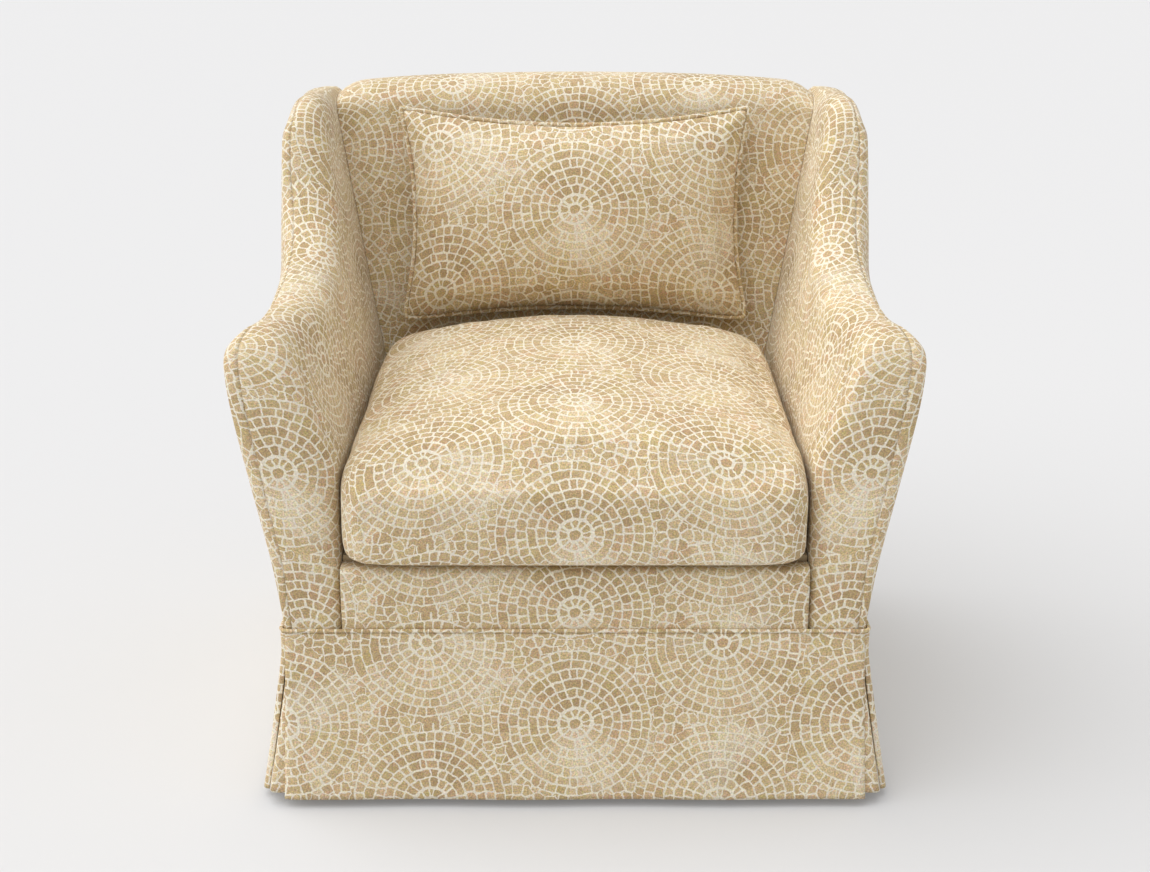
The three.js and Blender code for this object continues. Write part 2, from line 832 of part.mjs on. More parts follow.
// Legs: square, tapered on all four sides
const legTop = 46;
const legFoot = 32;
const glideHeight = 5;
const glideRadius = 11;
const legInset = 34; // leg's middle from the inner faces of the rails
function leg() {
  const height = railBottom - clearance - glideHeight - clearance;
  const quarter = Math.PI / 4;
  const shaft = new THREE.CylinderGeometry(
    (legTop / 2) * Math.SQRT2,
    (legFoot / 2) * Math.SQRT2,
    height,
    4,
  );
  shaft.rotateY(quarter);
  shaft.rotateX(Math.PI / 2);
  return shaft.translate(0, 0, glideHeight + clearance + height / 2);
}

function glide() {
  const rim = glideHeight / 4;
  const profile = [
    [0, 0],
    [glideRadius - rim, 0],
    [glideRadius, rim],
    [glideRadius, glideHeight - rim],
    [glideRadius - rim, glideHeight],
    [0, glideHeight],
  ].map(([r, z]) => new THREE.Vector2(r, z));
  const turned = new THREE.LatheGeometry(profile, 12);
  return turned.rotateX(Math.PI / 2);
}

// Front border, seat deck and dust cover

const borderStep = 7; // border's top below the deck
const borderTop = deckHeight - borderStep;
const borderRound = 9;
const borderLip = 28;
function frontBorder() {
  const outline = new THREE.Shape();
  outline.moveTo(0, shellFloor);
  outline.lineTo(borderThickness, shellFloor);
  outline.lineTo(borderThickness, railTop + clearance);
  outline.lineTo(borderLip, railTop + clearance);
  outline.lineTo(borderLip, borderTop - borderRound / 2);
  outline.lineTo(borderLip - borderRound / 2, borderTop);
  outline.lineTo(borderRound, borderTop);
  outline.absarc(borderRound, borderTop - borderRound, borderRound, Math.PI / 2, Math.PI, false);
  const halfWidth = insideSpan / 2 - gapSoft;
  const extruded = new THREE.ExtrudeGeometry(outline, {
    depth: 2 * halfWidth,
    bevelEnabled: false,
    curveSegments: 4,
  });
  return mapPoints(extruded, (a, b, c) => [c - halfWidth, frontY + a, b]);
}

function seatDeck() {
  const low = wireHeight + springCrown + wireRadius + clearance;
  const front = frontY + borderLip + clearance;
  const rear = backPostFront(deckHeight) - clearance;
  const place = (u, v, z) => {
    const y = lerp(front, rear, v);
    return [(2 * u - 1) * (insideX(y, z) - gapSoft), y, z];
  };
  return slab(6, 6, (u, v) => place(u, v, deckHeight), (u, v) => place(u, v, low));
}

const cambricThickness = 1.2;
const legClear = 3;
function legPlaces() {
  const front = frontRailY + frontRailDepth + legInset;
  const rear = backRailY - legInset;
  const x = frameX(front, railBottom) - half - legInset;
  return [
    ["front_left", -x, front],
    ["front_right", x, front],
    ["rear_left", -x, rear],
    ["rear_right", x, rear],
  ];
}

function dustCover() {
  const [, , [, left, rear]] = legPlaces();
  const legHalf = legTop / 2 + legClear;
  const endX = frameX(frontY, railBottom);
  const front = frontRailY;
  const back = backRailY + crossThickness;
  const notchX = -left - legHalf;
  const notchFront = frontRailY + frontRailDepth + legInset + legHalf;
  const notchRear = rear - legHalf;
  const outline = [
    [-notchX, front],
    [notchX, front],
    [notchX, notchFront],
    [endX, notchFront],
    [endX, notchRear],
    [notchX, notchRear],
    [notchX, back],
    [-notchX, back],
    [-notchX, notchRear],
    [-endX, notchRear],
    [-endX, notchFront],
    [-notchX, notchFront],
  ];
  const sheet = new THREE.ExtrudeGeometry(shapeOf(outline), {
    depth: cambricThickness,
    bevelEnabled: false,
  });
  return sheet.translate(0, 0, railBottom - clearance - cambricThickness);
}

// Skirt

const skirtColumns = 12;
const skirtRows = 4;
const rippleCount = 3;
const backSkirtFlare = 16;
const cornerSlit = 2.5; // between the panels at a corner
const weltRadius = 3;

// The panels flare evenly from the seam to the hem
const skirtZ = (v) => lerp(seamHeight, hemHeight, v);
const frontSkirtY = (v) => frontY - skirtGap - skirtFlare * v;
const sideSkirtX = (v) => seamSpan / 2 + edgeThickness / 2 + skirtGap + sideFlare * v;
const backFaceY = rearFrameY(seamHeight + 2 * weltRadius) + clearance + backPanelThickness;
const backSkirtY = (v) => backFaceY + clearance + backSkirtFlare * v;
// The waves stand outwards only, by up to their full height at the hem
const ripple = (u, v) => (rippleHeight * v * (1 + Math.sin(u * rippleCount * 2 * Math.PI))) / 2;
const frontPanelHalf = (v) => seamSpan / 2 - cornerSlit + (sideFlare / 4) * v;

function skirtFront() {
  const place = (u, v, layer) => [
    (2 * u - 1) * frontPanelHalf(v),
    frontSkirtY(v) - ripple(u, v) - layer * skirtThickness,
    skirtZ(v),
  ];
  return slab(skirtColumns, skirtRows, (u, v) => place(u, v, 0), (u, v) => place(u, v, 1));
}

function skirtBack() {
  const place = (u, v, layer) => [
    (2 * u - 1) * frontPanelHalf(v),
    backSkirtY(v) + ripple(u, v) + layer * skirtThickness,
    skirtZ(v),
  ];
  return slab(skirtColumns, skirtRows, (u, v) => place(u, v, 1), (u, v) => place(u, v, 0));
}

// A side panel turns in at both ends, round the corner of the body
const returnRound = 8;
const returnColumns = 3;
const sideColumnsBetween = 10;
const sideSkirtColumns = sideColumnsBetween + 2 * returnColumns;
function skirtSide() {
  const place = (u, v, layer) => {
    const column = Math.round(u * sideSkirtColumns);
    const fromEnd = Math.min(column, sideSkirtColumns - column);
    const turn = (Math.min(1, fromEnd / returnColumns) * Math.PI) / 2;
    const radius = returnRound - (1 - layer) * skirtThickness;
    const along = clamp01((column - returnColumns) / sideColumnsBetween);
    const straight = lerp(frontY + returnRound, backFaceY - returnRound, along);
    const end = column * 2 < sideSkirtColumns ? -1 : 1;
    return [
      sideSkirtX(v) + skirtThickness - returnRound + ripple(along, v) + radius * Math.sin(turn),
      straight + end * radius * Math.cos(turn),
      skirtZ(v),
    ];
  };
  return slab(sideSkirtColumns, skirtRows, (u, v) => place(u, v, 0), (u, v) => place(u, v, 1));
}

// The insert behind a corner: a folded strip just inside the front or back panel, and inside
// the side panel's turned end
const insertLength = 62;
const insertRound = 9;
const insertTop = 197;
const insertThickness = 2;
const insertGap = 0.6;
const insertSideGap = returnRound - skirtThickness + insertGap;
const insertColumns = 8;
const insertRows = 3;
const foldShares = [0.3, 0.7]; // where the fold starts and ends along the strip

function pleatInsert(atRear) {
  const topV = (seamHeight - insertTop) / (seamHeight - hemHeight);
  const place = (u, v, layer) => {
    const drop = lerp(topV, 1, v);
    const inward = insertGap + layer * insertThickness;
    const faceY = atRear ? backSkirtY(drop) : frontSkirtY(drop);
    const out = atRear ? 1 : -1;
    const x = sideSkirtX(drop) - insertSideGap - insertRound + insertGap;
    const y = faceY - out * insertRound;
    const radius = insertRound - inward;
    const [foldStart, foldEnd] = foldShares;
    const bend = clamp01((u - foldStart) / (foldEnd - foldStart));
    const angle = (bend * Math.PI) / 2;
    const before = clamp01(1 - u / foldStart) * insertLength;
    const after = clamp01((u - foldEnd) / (1 - foldEnd)) * insertLength;
    return [
      x + radius * Math.sin(angle) - before,
      y + out * radius * Math.cos(angle) - out * after,
      skirtZ(drop),
    ];
  };
  const [first, second] = atRear ? [0, 1] : [1, 0];
  const [inner, outer] = [(u, v) => place(u, v, first), (u, v) => place(u, v, second)];
  return slab(insertColumns, insertRows, inner, outer);
}

// The welt lies on the skirt's upper edge, round the whole body
const weltCorner = 7;
const weltCornerSteps = 4;
function skirtWelt() {
  const halfX = sideSkirtX(0) + weltRadius - weltCorner;
  const low = frontSkirtY(0) - weltRadius + weltCorner;
  const high = backSkirtY(0) + weltRadius - weltCorner;
  const height = seamHeight + weltRadius + clearance;
  const corners = [
    [halfX, low],
    [halfX, high],
    [-halfX, high],
    [-halfX, low],
  ];
  const path = corners.flatMap(([x, y], corner) =>
    Array.from({ length: weltCornerSteps + 1 }, (_, i) => {
      const turn = (corner - 1 + i / weltCornerSteps) * (Math.PI / 2);
      return [x + weltCorner * Math.cos(turn), y + weltCorner * Math.sin(turn), height];
    }),
  );
  return loopTube(path, new THREE.Vector3(0, 0, 1), 6, weltRadius);
}

// Seat cushion: a crowned box, thicker towards the rear. Rings run from the middle of the
// underside, round the side and over the top; at the front the upper edge rolls over.

const cushionProud = 22; // its front face stands in front of the border
const cushionDepth = 509;
const cushionLow = deckHeight + clearance;
const cushionEdge = 119; // thickness at the sides, at the front
const cushionRise = 51; // how much thicker the sides are at the rear
const cushionCrown = 36; // of the top above its edges, in the middle
const crownStart = 120; // depth over which the crown rises at the front
const crownEnd = 45; // and falls at the rear
const frontRoll = 22; // how much lower the front's upper edge is
const frontRollReach = 48;
const coverWall = 2.5;
const cushionPower = 9; // of the outline in plan, a square with round corners
const crownFrontShare = 0.78; // of the crown's height, at the front
const cushionRingShares = [
  // size in plan, height, and how much of the front roll is there
  [0, 0, 0],
  [0.55, 0, 0],
  [0.965, 0, 0],
  [0.992, 0.06, 0],
  [1, 0.3, 0],
  [1, 0.6, 0.1],
  [0.992, 0.82, 0.45],
  [0.975, 0.93, 0.8],
  [0.94, 0.985, 1],
  [0.86, 1, 0.95],
  [0.6, 1, 0.5],
  [0.3, 1, 0.1],
  [0, 1, 0],
];
const cushionSides = 36;

function crownAt(x, y, halfX, low, high) {
  const rise = 1 - (1 - clamp01((y - low) / crownStart)) ** 2;
  const fall = 1 - (1 - clamp01((high - y) / crownEnd)) ** 2;
  const along = lerp(crownFrontShare, 1, clamp01((y - low) / (high - low)));
  return cushionCrown * (1 - (x / halfX) ** 2) * rise * fall * along;
}

function cushionSolid(inset) {
  const points = [];
  const faces = [];
  const low = frontY - cushionProud + inset;
  const high = frontY - cushionProud + cushionDepth - inset;
  const halfY = (high - low) / 2;
  const middle = (low + high) / 2;
  cushionRingShares.forEach(([size, height, rolled], ring) => {
    const poles = ring === 0 || ring === cushionRingShares.length - 1;
    for (let k = 0; k < (poles ? 1 : cushionSides); k++) {
      const turn = ((k + 0.5) / cushionSides) * 2 * Math.PI;
      const c = Math.cos(turn);
      const s = Math.sin(turn);
      const spread = Math.abs(c) ** cushionPower + Math.abs(s) ** cushionPower;
      const grow = size * spread ** (-1 / cushionPower);
      const y = middle + halfY * s * grow;
      const halfX = insideX(y, cushionLow) - gapSoft - inset;
      const x = halfX * c * grow;
      const edge = cushionEdge + cushionRise * ((y - low) / (high - low)) - 2 * inset;
      const crown = ring * 2 < cushionRingShares.length ? 0 : crownAt(x, y, halfX, low, high);
      const roll = frontRoll * rolled * smooth((low + frontRollReach - y) / frontRollReach);
      points.push([x, y, cushionLow + inset + height * edge + crown - roll]);
    }
  });
  const start = (ring) => (ring === 0 ? 0 : 1 + (ring - 1) * cushionSides);
  const last = cushionRingShares.length - 1;
  for (let k = 0; k < cushionSides; k++) {
    const next = (k + 1) % cushionSides;
    faces.push([0, start(1) + next, start(1) + k]);
    for (let ring = 1; ring < last - 1; ring++) {
      const [a, b] = [start(ring) + k, start(ring) + next];
      const [c, d] = [start(ring + 1) + next, start(ring + 1) + k];
      faces.push([a, b, c], [a, c, d]);
    }
    faces.push([start(last - 1) + k, start(last - 1) + next, start(last)]);
  }
  return meshGeometry(points, faces);
}

const zipHalfLength = 230;
const zipHalfHeight = 11;
const zipLift = 60; // of the zip's middle above the cushion's underside
const zipHeight = cushionLow + zipLift;
const zipThickness = 1.6;
const zipRear = frontY - cushionProud + cushionDepth;

function cushionCover() {
  const slot = boxBetween(
    [-zipHalfLength, zipRear - overrun, zipHeight - zipHalfHeight],
    [zipHalfLength, zipRear + overrun, zipHeight + zipHalfHeight],
  );
  const body = cutBy(solid(cushionSolid(0)), [
    solid(cushionSolid(coverWall)),
    solid(slot),
  ]);
  return geometryOf(mainBody(body));
}

function cushionZip() {
  return boxBetween(
    [-zipHalfLength + clearance, zipRear - coverWall, zipHeight - zipHalfHeight + clearance],
    [zipHalfLength - clearance, zipRear - coverWall + zipThickness, zipHeight + zipHalfHeight - clearance],
  );
}

// Lumbar pillow: knife edged, its corners drawn out and its sides drawn in, flat at the rear
// where it leans on the inside back. It is made lying in its own plane and then leant.

const pillowHalfWidth = 249;
const pillowHalfHeight = 148;
const pillowDipX = 21; // how far the middle of a side is drawn in
const pillowDipZ = 21;
const pillowFront = 84; // swell in front of the edge plane
const pillowRear = 20; // swell behind it
const pillowLow = 502; // height of its lower corners
const swellPower = 0.62;
const pillowGap = 1.5;
const outerGrid = [14, 10];
const innerGrid = [10, 7];

function pillowPlane(s, t, inset) {
  const x = s * (pillowHalfWidth - inset - pillowDipX * (1 - t * t) * Math.abs(s));
  const z = t * (pillowHalfHeight - inset - pillowDipZ * (1 - s * s) * Math.abs(t));
  return [x, z];
}

function pillowSwell(s, t) {
  const edge = (1 - s * s) * (1 - t * t);
  return Math.max(0, edge) ** swellPower;
}

const pillowLean = Math.atan(insideBackLean);
function leanPillow([x, y, z]) {
  const lift = pillowLow + pillowHalfHeight * Math.cos(pillowLean);
  const plane = insideBackFaceY(lift) - backCrown - pillowRear / Math.cos(pillowLean) - pillowGap;
  return [
    x,
    plane + y * Math.cos(pillowLean) + z * Math.sin(pillowLean),
    lift + z * Math.cos(pillowLean) - y * Math.sin(pillowLean),
  ];
}

function pillowSolid(inset, edge, [columns, rows]) {
  const spread = (u) => Math.sin(((2 * u - 1) * Math.PI) / 2);
  const place = (u, v, side) => {
    const [s, t] = [spread(u), spread(v)];
    const [x, z] = pillowPlane(s, t, inset);
    const swell = side < 0 ? -(pillowFront - inset) : pillowRear - inset;
    return leanPillow([x, swell * pillowSwell(s, t) + (side * edge) / 2, z]);
  };
  return slab(columns, rows, (u, v) => place(u, v, -1), (u, v) => place(u, v, 1));
}

const pillowEdge = 4;
const pillowZipHalf = 170;

function pillowCover() {
  const [, low] = pillowPlane(0, -1, 0);
  const slot = boxBetween(
    [-pillowZipHalf, -pillowEdge / 2, low - overrun],
    [pillowZipHalf, pillowEdge / 2, low + 3 * coverWall],
  );
  const body = cutBy(solid(pillowSolid(0, pillowEdge, outerGrid)), [
    solid(pillowSolid(coverWall, pillowEdge / 2, innerGrid)),
    solid(mapPoints(slot, (x, y, z) => leanPillow([x, y, z]))),
  ]);
  return geometryOf(mainBody(body));
}

// The zip follows the lower edge, in the slot of the cover
const pillowZipColumns = 10;
function pillowZip() {
  const reach = pillowZipHalf - clearance;
  const place = (u, v, side) => {
    const x = lerp(-reach, reach, u);
    const [, z] = pillowPlane(x / pillowHalfWidth, -1, lerp(clearance, coverWall - clearance, v));
    return leanPillow([x, side * (pillowEdge / 2 - clearance), z]);
  };
  return slab(pillowZipColumns, 1, (u, v) => place(u, v, -1), (u, v) => place(u, v, 1));
}

const pillowWeltRadius = 3.2;
const earShare = 0.7; // the welt stands further out round an ear
const earPower = 8;
function pillowWelt() {
  const out = pillowWeltRadius + 3 * clearance;
  const [columns, rows] = outerGrid;
  const side = (count, place) =>
    Array.from({ length: count }, (_, i) => place(Math.sin((i / count - 0.5) * Math.PI)));
  const path = [
    ...side(columns, (t) => [t, -1]),
    ...side(rows, (t) => [1, t]),
    ...side(columns, (t) => [-t, 1]),
    ...side(rows, (t) => [-1, -t]),
  ].map(([s, t]) => {
    const ear = earShare * Math.abs(s * t) ** earPower;
    const [x, z] = pillowPlane(s, t, -out * (1 + ear));
    return leanPillow([x, 0, z]);
  });
  const up = new THREE.Vector3(0, Math.cos(pillowLean), -Math.sin(pillowLean));
  return loopTube(path, up, 6, pillowWeltRadius);
}

// Assembly

const chair = new THREE.Group();
const seatCushion = new THREE.Group();
const lumbarPillow = new THREE.Group();
seatCushion.add(lumbarPillow);
chair.add(seatCushion);

function piece(name, geometry, material, group = chair) {
  const mesh = new THREE.Mesh(geometry, material);
  mesh.name = name;
  group.add(mesh);
  return mesh;
}

function pair(name, geometry, material) {
  piece("right_" + name, geometry, material);
  piece("left_" + name, mirrored(geometry), material);
}

const frontRail = springRail(frontRailY, frontRailDepth, frontWireEnd, uprights.arm_post);
piece("front_rail", frontRail, finishes.hardwood);
const backRail = springRail(backRailY, crossThickness, backWireEnd, uprights.back_post);
piece("back_rail", backRail, finishes.hardwood);
boardNames.forEach((name, i) => pair(name, boards[i], finishes.hardwood));
piece("back_top_rail", topRail(0), finishes.hardwood);
piece("back_tack_rail", backTackRail(), finishes.hardwood);
pair("front_corner_block", cornerBlock(false), finishes.hardwood);
pair("rear_corner_block", cornerBlock(true), finishes.hardwood);

for (const [place, x, y] of legPlaces()) {
  piece(place + "_leg", leg(), finishes.legWood).position.set(x, y, 0);
  piece(place + "_glide", glide(), finishes.nylon).position.set(x, y, 0);
}

springXs.forEach((x, i) => piece("seat_spring_" + (i + 1), seatSpring(x), finishes.steel));
piece("seat_deck", seatDeck(), finishes.lining);
piece("dust_cover", dustCover(), finishes.cambric);

pair("inside_arm", insideArm(), finishes.fabric);
pair("outside_arm", outsideArm(), finishes.fabric);
piece("inside_back", insideBack(), finishes.fabric);
piece("outside_back", outsideBack(), finishes.fabric);
piece("front_border", frontBorder(), finishes.fabric);

piece("skirt_front", skirtFront(), finishes.fabric);
piece("skirt_back", skirtBack(), finishes.fabric);
pair("skirt_side", skirtSide(), finishes.fabric);
pair("front_pleat_insert", pleatInsert(false), finishes.fabric);
pair("rear_pleat_insert", pleatInsert(true), finishes.fabric);
piece("skirt_welt", skirtWelt(), finishes.fabric);

piece("seat_cushion_cover", cushionCover(), finishes.fabric, seatCushion);
piece("seat_cushion_core", cushionSolid(coverWall + clearance), finishes.foam, seatCushion);
piece("seat_cushion_zip", cushionZip(), finishes.lining, seatCushion);
piece("pillow_cover", pillowCover(), finishes.fabric, lumbarPillow);
piece(
  "pillow_fill",
  pillowSolid(coverWall + clearance, pillowEdge / 2 - clearance, innerGrid),
  finishes.foam,
  lumbarPillow,
);
piece("pillow_welt", pillowWelt(), finishes.fabric, lumbarPillow);
piece("pillow_zip", pillowZip(), finishes.lining, lumbarPillow);

export default chair;
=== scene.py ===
import bmesh
import bpy
import json
import math
import numpy as np
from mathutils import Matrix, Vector, noise


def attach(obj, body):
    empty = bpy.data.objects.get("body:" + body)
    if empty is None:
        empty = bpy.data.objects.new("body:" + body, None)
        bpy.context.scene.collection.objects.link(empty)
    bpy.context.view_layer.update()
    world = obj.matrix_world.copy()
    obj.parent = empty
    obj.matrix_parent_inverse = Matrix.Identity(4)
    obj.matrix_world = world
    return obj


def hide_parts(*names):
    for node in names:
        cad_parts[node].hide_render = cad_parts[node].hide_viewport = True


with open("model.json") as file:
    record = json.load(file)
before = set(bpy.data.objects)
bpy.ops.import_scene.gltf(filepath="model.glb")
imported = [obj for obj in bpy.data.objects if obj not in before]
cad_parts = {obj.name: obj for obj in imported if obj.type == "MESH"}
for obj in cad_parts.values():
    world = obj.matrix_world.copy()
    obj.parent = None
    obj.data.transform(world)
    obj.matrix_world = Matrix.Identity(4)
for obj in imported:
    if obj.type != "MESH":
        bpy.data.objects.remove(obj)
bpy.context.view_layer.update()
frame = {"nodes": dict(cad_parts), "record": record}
scene = bpy.context.scene

# Sizes of the chair in millimetres, as in the part

MM = 0.001
front_y = -349.5
arm_span, waist_span, wing_span, seam_span = 814, 780, 802, 712
inside_span, inside_taper, spine_depth = 569, 5.5, 510
body_depth, back_lean = 670, 0.073
inside_back_y, inside_back_lean = 490, 0.2015
arm_thickness, wing_thickness = 65.7, 46.2
arm_shell, wing_shell, seam_shell = 33.4, 31.3, 34.5
inside_lean_start = 430
shell_floor, seam_height, deck_height = 200, 227, 316
arm_height, wing_height, back_height = 599, 829, 844
back_panel = 14
hem_height, skirt_flare, side_flare, skirt_thickness = 12, 22, 31, 3
foot_top = 238  # the outline is straight up to here
wall_top = wing_height - 86  # where the walls' rear ends stop


def clamp(t, low=0.0, high=1.0):
    return np.minimum(high, np.maximum(low, t))


def smooth(t):
    t = clamp(t)
    return t * t * (3 - 2 * t)


def lerp(a, b, t):
    return a + (b - a) * t


def run_along(points):
    """The way along a row of points, from the first to each."""
    steps = np.linalg.norm(np.diff(points, axis=-2), axis=-1)
    return np.insert(np.cumsum(steps, axis=-1), 0, 0, axis=-1)


def sample(at, where, points):
    """Points read off between others, which lie at the places named by where."""
    return np.stack([np.interp(at, where, column) for column in points.T], 1)


def soft_above(value, width):
    """max(0, value), eased over a width."""
    return 0.5 * (value + np.sqrt(value * value + width * width)) - 0.5 * width * np.exp(
        -np.abs(value) / width
    )


inside_lean_front = (arm_span / 2 - arm_thickness - inside_span / 2) / (arm_height - inside_lean_start)
inside_lean_rear = (wing_span / 2 - wing_thickness - inside_span / 2 + inside_taper) / (
    wing_height - inside_lean_start
)
frame_foot = seam_span / 2 - seam_shell
frame_lean_front = (arm_span / 2 - arm_shell - frame_foot) / (arm_height - seam_height)
frame_lean_rear = (wing_span / 2 - wing_shell - frame_foot) / (wing_height - seam_height)


def inside_x(y, z):
    depth = y - front_y
    taper = inside_taper * clamp(depth / spine_depth)
    lean = lerp(inside_lean_front, inside_lean_rear, smooth(depth / 250))
    return inside_span / 2 - taper + lean * soft_above(z - inside_lean_start, 30)


def frame_x(y, z):
    lean = lerp(frame_lean_front, frame_lean_rear, clamp((y - front_y) / body_depth))
    return frame_foot + lean * (z - seam_height)


def outside_x(y, z):
    depth = y - front_y
    front = (arm_span - waist_span) / 2 * (1 - smooth(depth / 150))
    wing = (wing_span - waist_span) / 2 * smooth((depth - 250) / 170)
    rise = clamp((z - foot_top) / (560 - foot_top))
    rise = lerp(rise, smooth(rise), 0.35)
    # stuffing: fuller at the arm's front and at the wing, drawn in between them under the slope
    fuller = 4.5 * (1 - smooth(depth / 90)) + 3.0 * smooth((depth - 330) / 80)
    drawn = 4.0 * np.exp(-(((depth - 130) / 72) ** 2)) * smooth((z - 500) / 80)
    return lerp(seam_span / 2, waist_span / 2 + front + wing + fuller - drawn, rise)


def rear_frame_y(z):
    return front_y + body_depth + back_lean * (z - shell_floor)


def inside_back_face(z):
    return front_y + inside_back_y + inside_back_lean * (z - deck_height)


# The outline of arm and wing in side view

arm_length = 490
OUTLINE = (
    [(front_y, shell_floor), (front_y, foot_top)]
    + [
        (front_y + a * arm_length, shell_floor + b * (arm_height - shell_floor))
        for a, b in [(-0.006, 0.55), (-0.002, 0.86), (0.026, 0.962), (0.09, 0.998), (0.22, 1.002)]
    ]
    + [
        (front_y + a * arm_length, arm_height + b * (wing_height - arm_height))
        for a, b in [
            (0.5, 0.087), (0.68, 0.22), (0.8, 0.44), (0.858, 0.7), (0.91, 0.895), (1, 0.983), (1.14, 1)
        ]
    ]
    + [
        (rear_frame_y(wing_height) - 52, wing_height),
        (rear_frame_y(wing_height) - 26, wing_height - 1.25),
        (rear_frame_y(wing_height), wing_height - 5),
    ]
)


def outline_point(t):
    """A point of the centripetal spline through the outline, t from 0 to 1."""
    points = [np.array(p, float) for p in OUTLINE]
    count = len(points)
    at = (count - 1) * t
    i = min(int(at), count - 2)
    w = at - i
    p1, p2 = points[i], points[i + 1]
    p0 = points[i - 1] if i else 2 * p1 - p2
    p3 = points[i + 2] if i + 2 < count else 2 * p2 - p1
    d0, d1, d2 = (max(np.linalg.norm(b - a) ** 0.5, 1e-4) for a, b in ((p0, p1), (p1, p2), (p2, p3)))
    t1 = ((p1 - p0) / d0 - (p2 - p0) / (d0 + d1) + (p2 - p1) / d1) * d1
    t2 = ((p2 - p1) / d1 - (p3 - p1) / (d1 + d2) + (p3 - p2) / d2) * d1
    return p1 + t1 * w + (3 * (p2 - p1) - 2 * t1 - t2) * w**2 + (2 * (p1 - p2) + t1 + t2) * w**3


def outline_frames(columns):
    """Points evenly along the outline, with the direction into the side and the share of each."""
    shares = np.linspace(0, 1, 700)
    dense = np.array([outline_point(s) for s in shares])
    length = run_along(dense)
    at = np.linspace(0, length[-1], columns + 1)
    points = sample(at, length, dense)
    along = np.gradient(points, axis=0)
    along /= np.linalg.norm(along, axis=1)[:, None]
    kernel = np.ones(5) / 5
    along = np.stack([np.convolve(np.pad(along[:, k], 2, "edge"), kernel, "valid") for k in (0, 1)], 1)
    along /= np.linalg.norm(along, axis=1)[:, None]
    inward = np.stack([along[:, 1], -along[:, 0]], 1)
    return points, inward, np.interp(at, length, shares)


def inner_end(share):
    """Where the side's surface runs out, along the bottom and then up the rear."""
    first, column, bottom = 1 / (len(OUTLINE) - 1), 1 / 25, 0.66
    rest = column + (share - first) / (1 - first) * (1 - column)
    u = np.where(share < first, share / first * column, rest)
    low = front_y + 50
    up = (wall_top - shell_floor) * (u - bottom) / (1 - bottom)
    z = np.where(u < bottom, shell_floor, shell_floor + up)
    y = np.where(u < bottom, low + (rear_frame_y(shell_floor) - low) * u / bottom, rear_frame_y(z))
    return np.stack([y, z], 1)


# Meshes

FABRIC_COORDS = "cloth"  # the place on the cloth of each point, which the print follows


def vertex_vectors(thing, key):
    values = np.zeros(len(thing.data.vertices) * 3)
    thing.data.vertices.foreach_get(key, values)
    return values.reshape(-1, 3)


def coordinates(thing):
    return vertex_vectors(thing, "co") / MM


def set_coordinates(thing, points):
    thing.data.vertices.foreach_set("co", (np.asarray(points) * MM).ravel())
    thing.data.update()


def set_cloth(thing, cloth):
    mesh = thing.data
    if FABRIC_COORDS in mesh.attributes:
        mesh.attributes.remove(mesh.attributes[FABRIC_COORDS])
    flat = np.zeros((len(mesh.vertices), 3), np.float32)
    flat[:, :2] = np.asarray(cloth, float) * MM
    layer = mesh.attributes.new(FABRIC_COORDS, "FLOAT_VECTOR", "POINT")
    layer.data.foreach_set("vector", flat.ravel())


def smooth_faces(thing):
    thing.data.polygons.foreach_set("use_smooth", [True] * len(thing.data.polygons))


def add_object(name, data):
    thing = bpy.data.objects.new(name, data)
    scene.collection.objects.link(thing)
    return thing


def new_mesh(name, points, faces, cloth=None):
    mesh = bpy.data.meshes.new(name)
    mesh.from_pydata((np.asarray(points, float) * MM).tolist(), [], faces)
    mesh.update()
    thing = add_object(name, mesh)
    smooth_faces(thing)
    if cloth is not None:
        set_cloth(thing, cloth)
    return thing


def closed_sheet(name, front, back, cloth):
    """A closed piece between two grids of points, columns by rows."""
    columns, rows = front.shape[0] - 1, front.shape[1] - 1

    def at(side, i, j):
        return (side * (columns + 1) + i) * (rows + 1) + j

    faces = []
    for side in (0, 1):
        for i in range(columns):
            for j in range(rows):
                quad = [at(side, i, j), at(side, i + 1, j), at(side, i + 1, j + 1), at(side, i, j + 1)]
                faces.append(quad[::-1] if side else quad)
    for i in range(columns):
        faces.append([at(0, i, 0), at(1, i, 0), at(1, i + 1, 0), at(0, i + 1, 0)])
        faces.append([at(0, i, rows), at(0, i + 1, rows), at(1, i + 1, rows), at(1, i, rows)])
    for j in range(rows):
        faces.append([at(0, 0, j), at(0, 0, j + 1), at(1, 0, j + 1), at(1, 0, j)])
        faces.append([at(0, columns, j), at(1, columns, j), at(1, columns, j + 1), at(0, columns, j + 1)])
    points = np.concatenate([front.reshape(-1, 3), back.reshape(-1, 3)])
    return new_mesh(name, points, faces, np.concatenate([cloth.reshape(-1, 2)] * 2))


def ring_faces(rings, sides, closed=False):
    """The quads of a stack of rings with the same number of points; closed joins the last to the first."""
    faces = []
    for ring in range(rings if closed else rings - 1):
        up = ((ring + 1) % rings - ring) * sides
        for k in range(sides):
            a, b = ring * sides + k, ring * sides + (k + 1) % sides
            faces.append([a, b, b + up, a + up])
    return faces


def mirror_copy(thing, name):
    """The other side's piece, with its print mirrored too."""
    copy = add_object(name, thing.data.copy())
    set_coordinates(copy, coordinates(thing) * (-1, 1, 1))
    copy.data.flip_normals()
    return copy


def set_normals_out(thing):
    work = bmesh.new()
    work.from_mesh(thing.data)
    bmesh.ops.recalc_face_normals(work, faces=work.faces)
    work.to_mesh(thing.data)
    work.free()


def set_material(thing, material):
    thing.data.materials.clear()
    thing.data.materials.append(material)


def place(thing, body, *nodes):
    """Gives a piece of the printed cloth its body, and hides the CAD nodes that it stands for."""
    set_normals_out(thing)
    set_material(thing, CLOTH)
    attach(thing, body)
    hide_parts(*nodes)


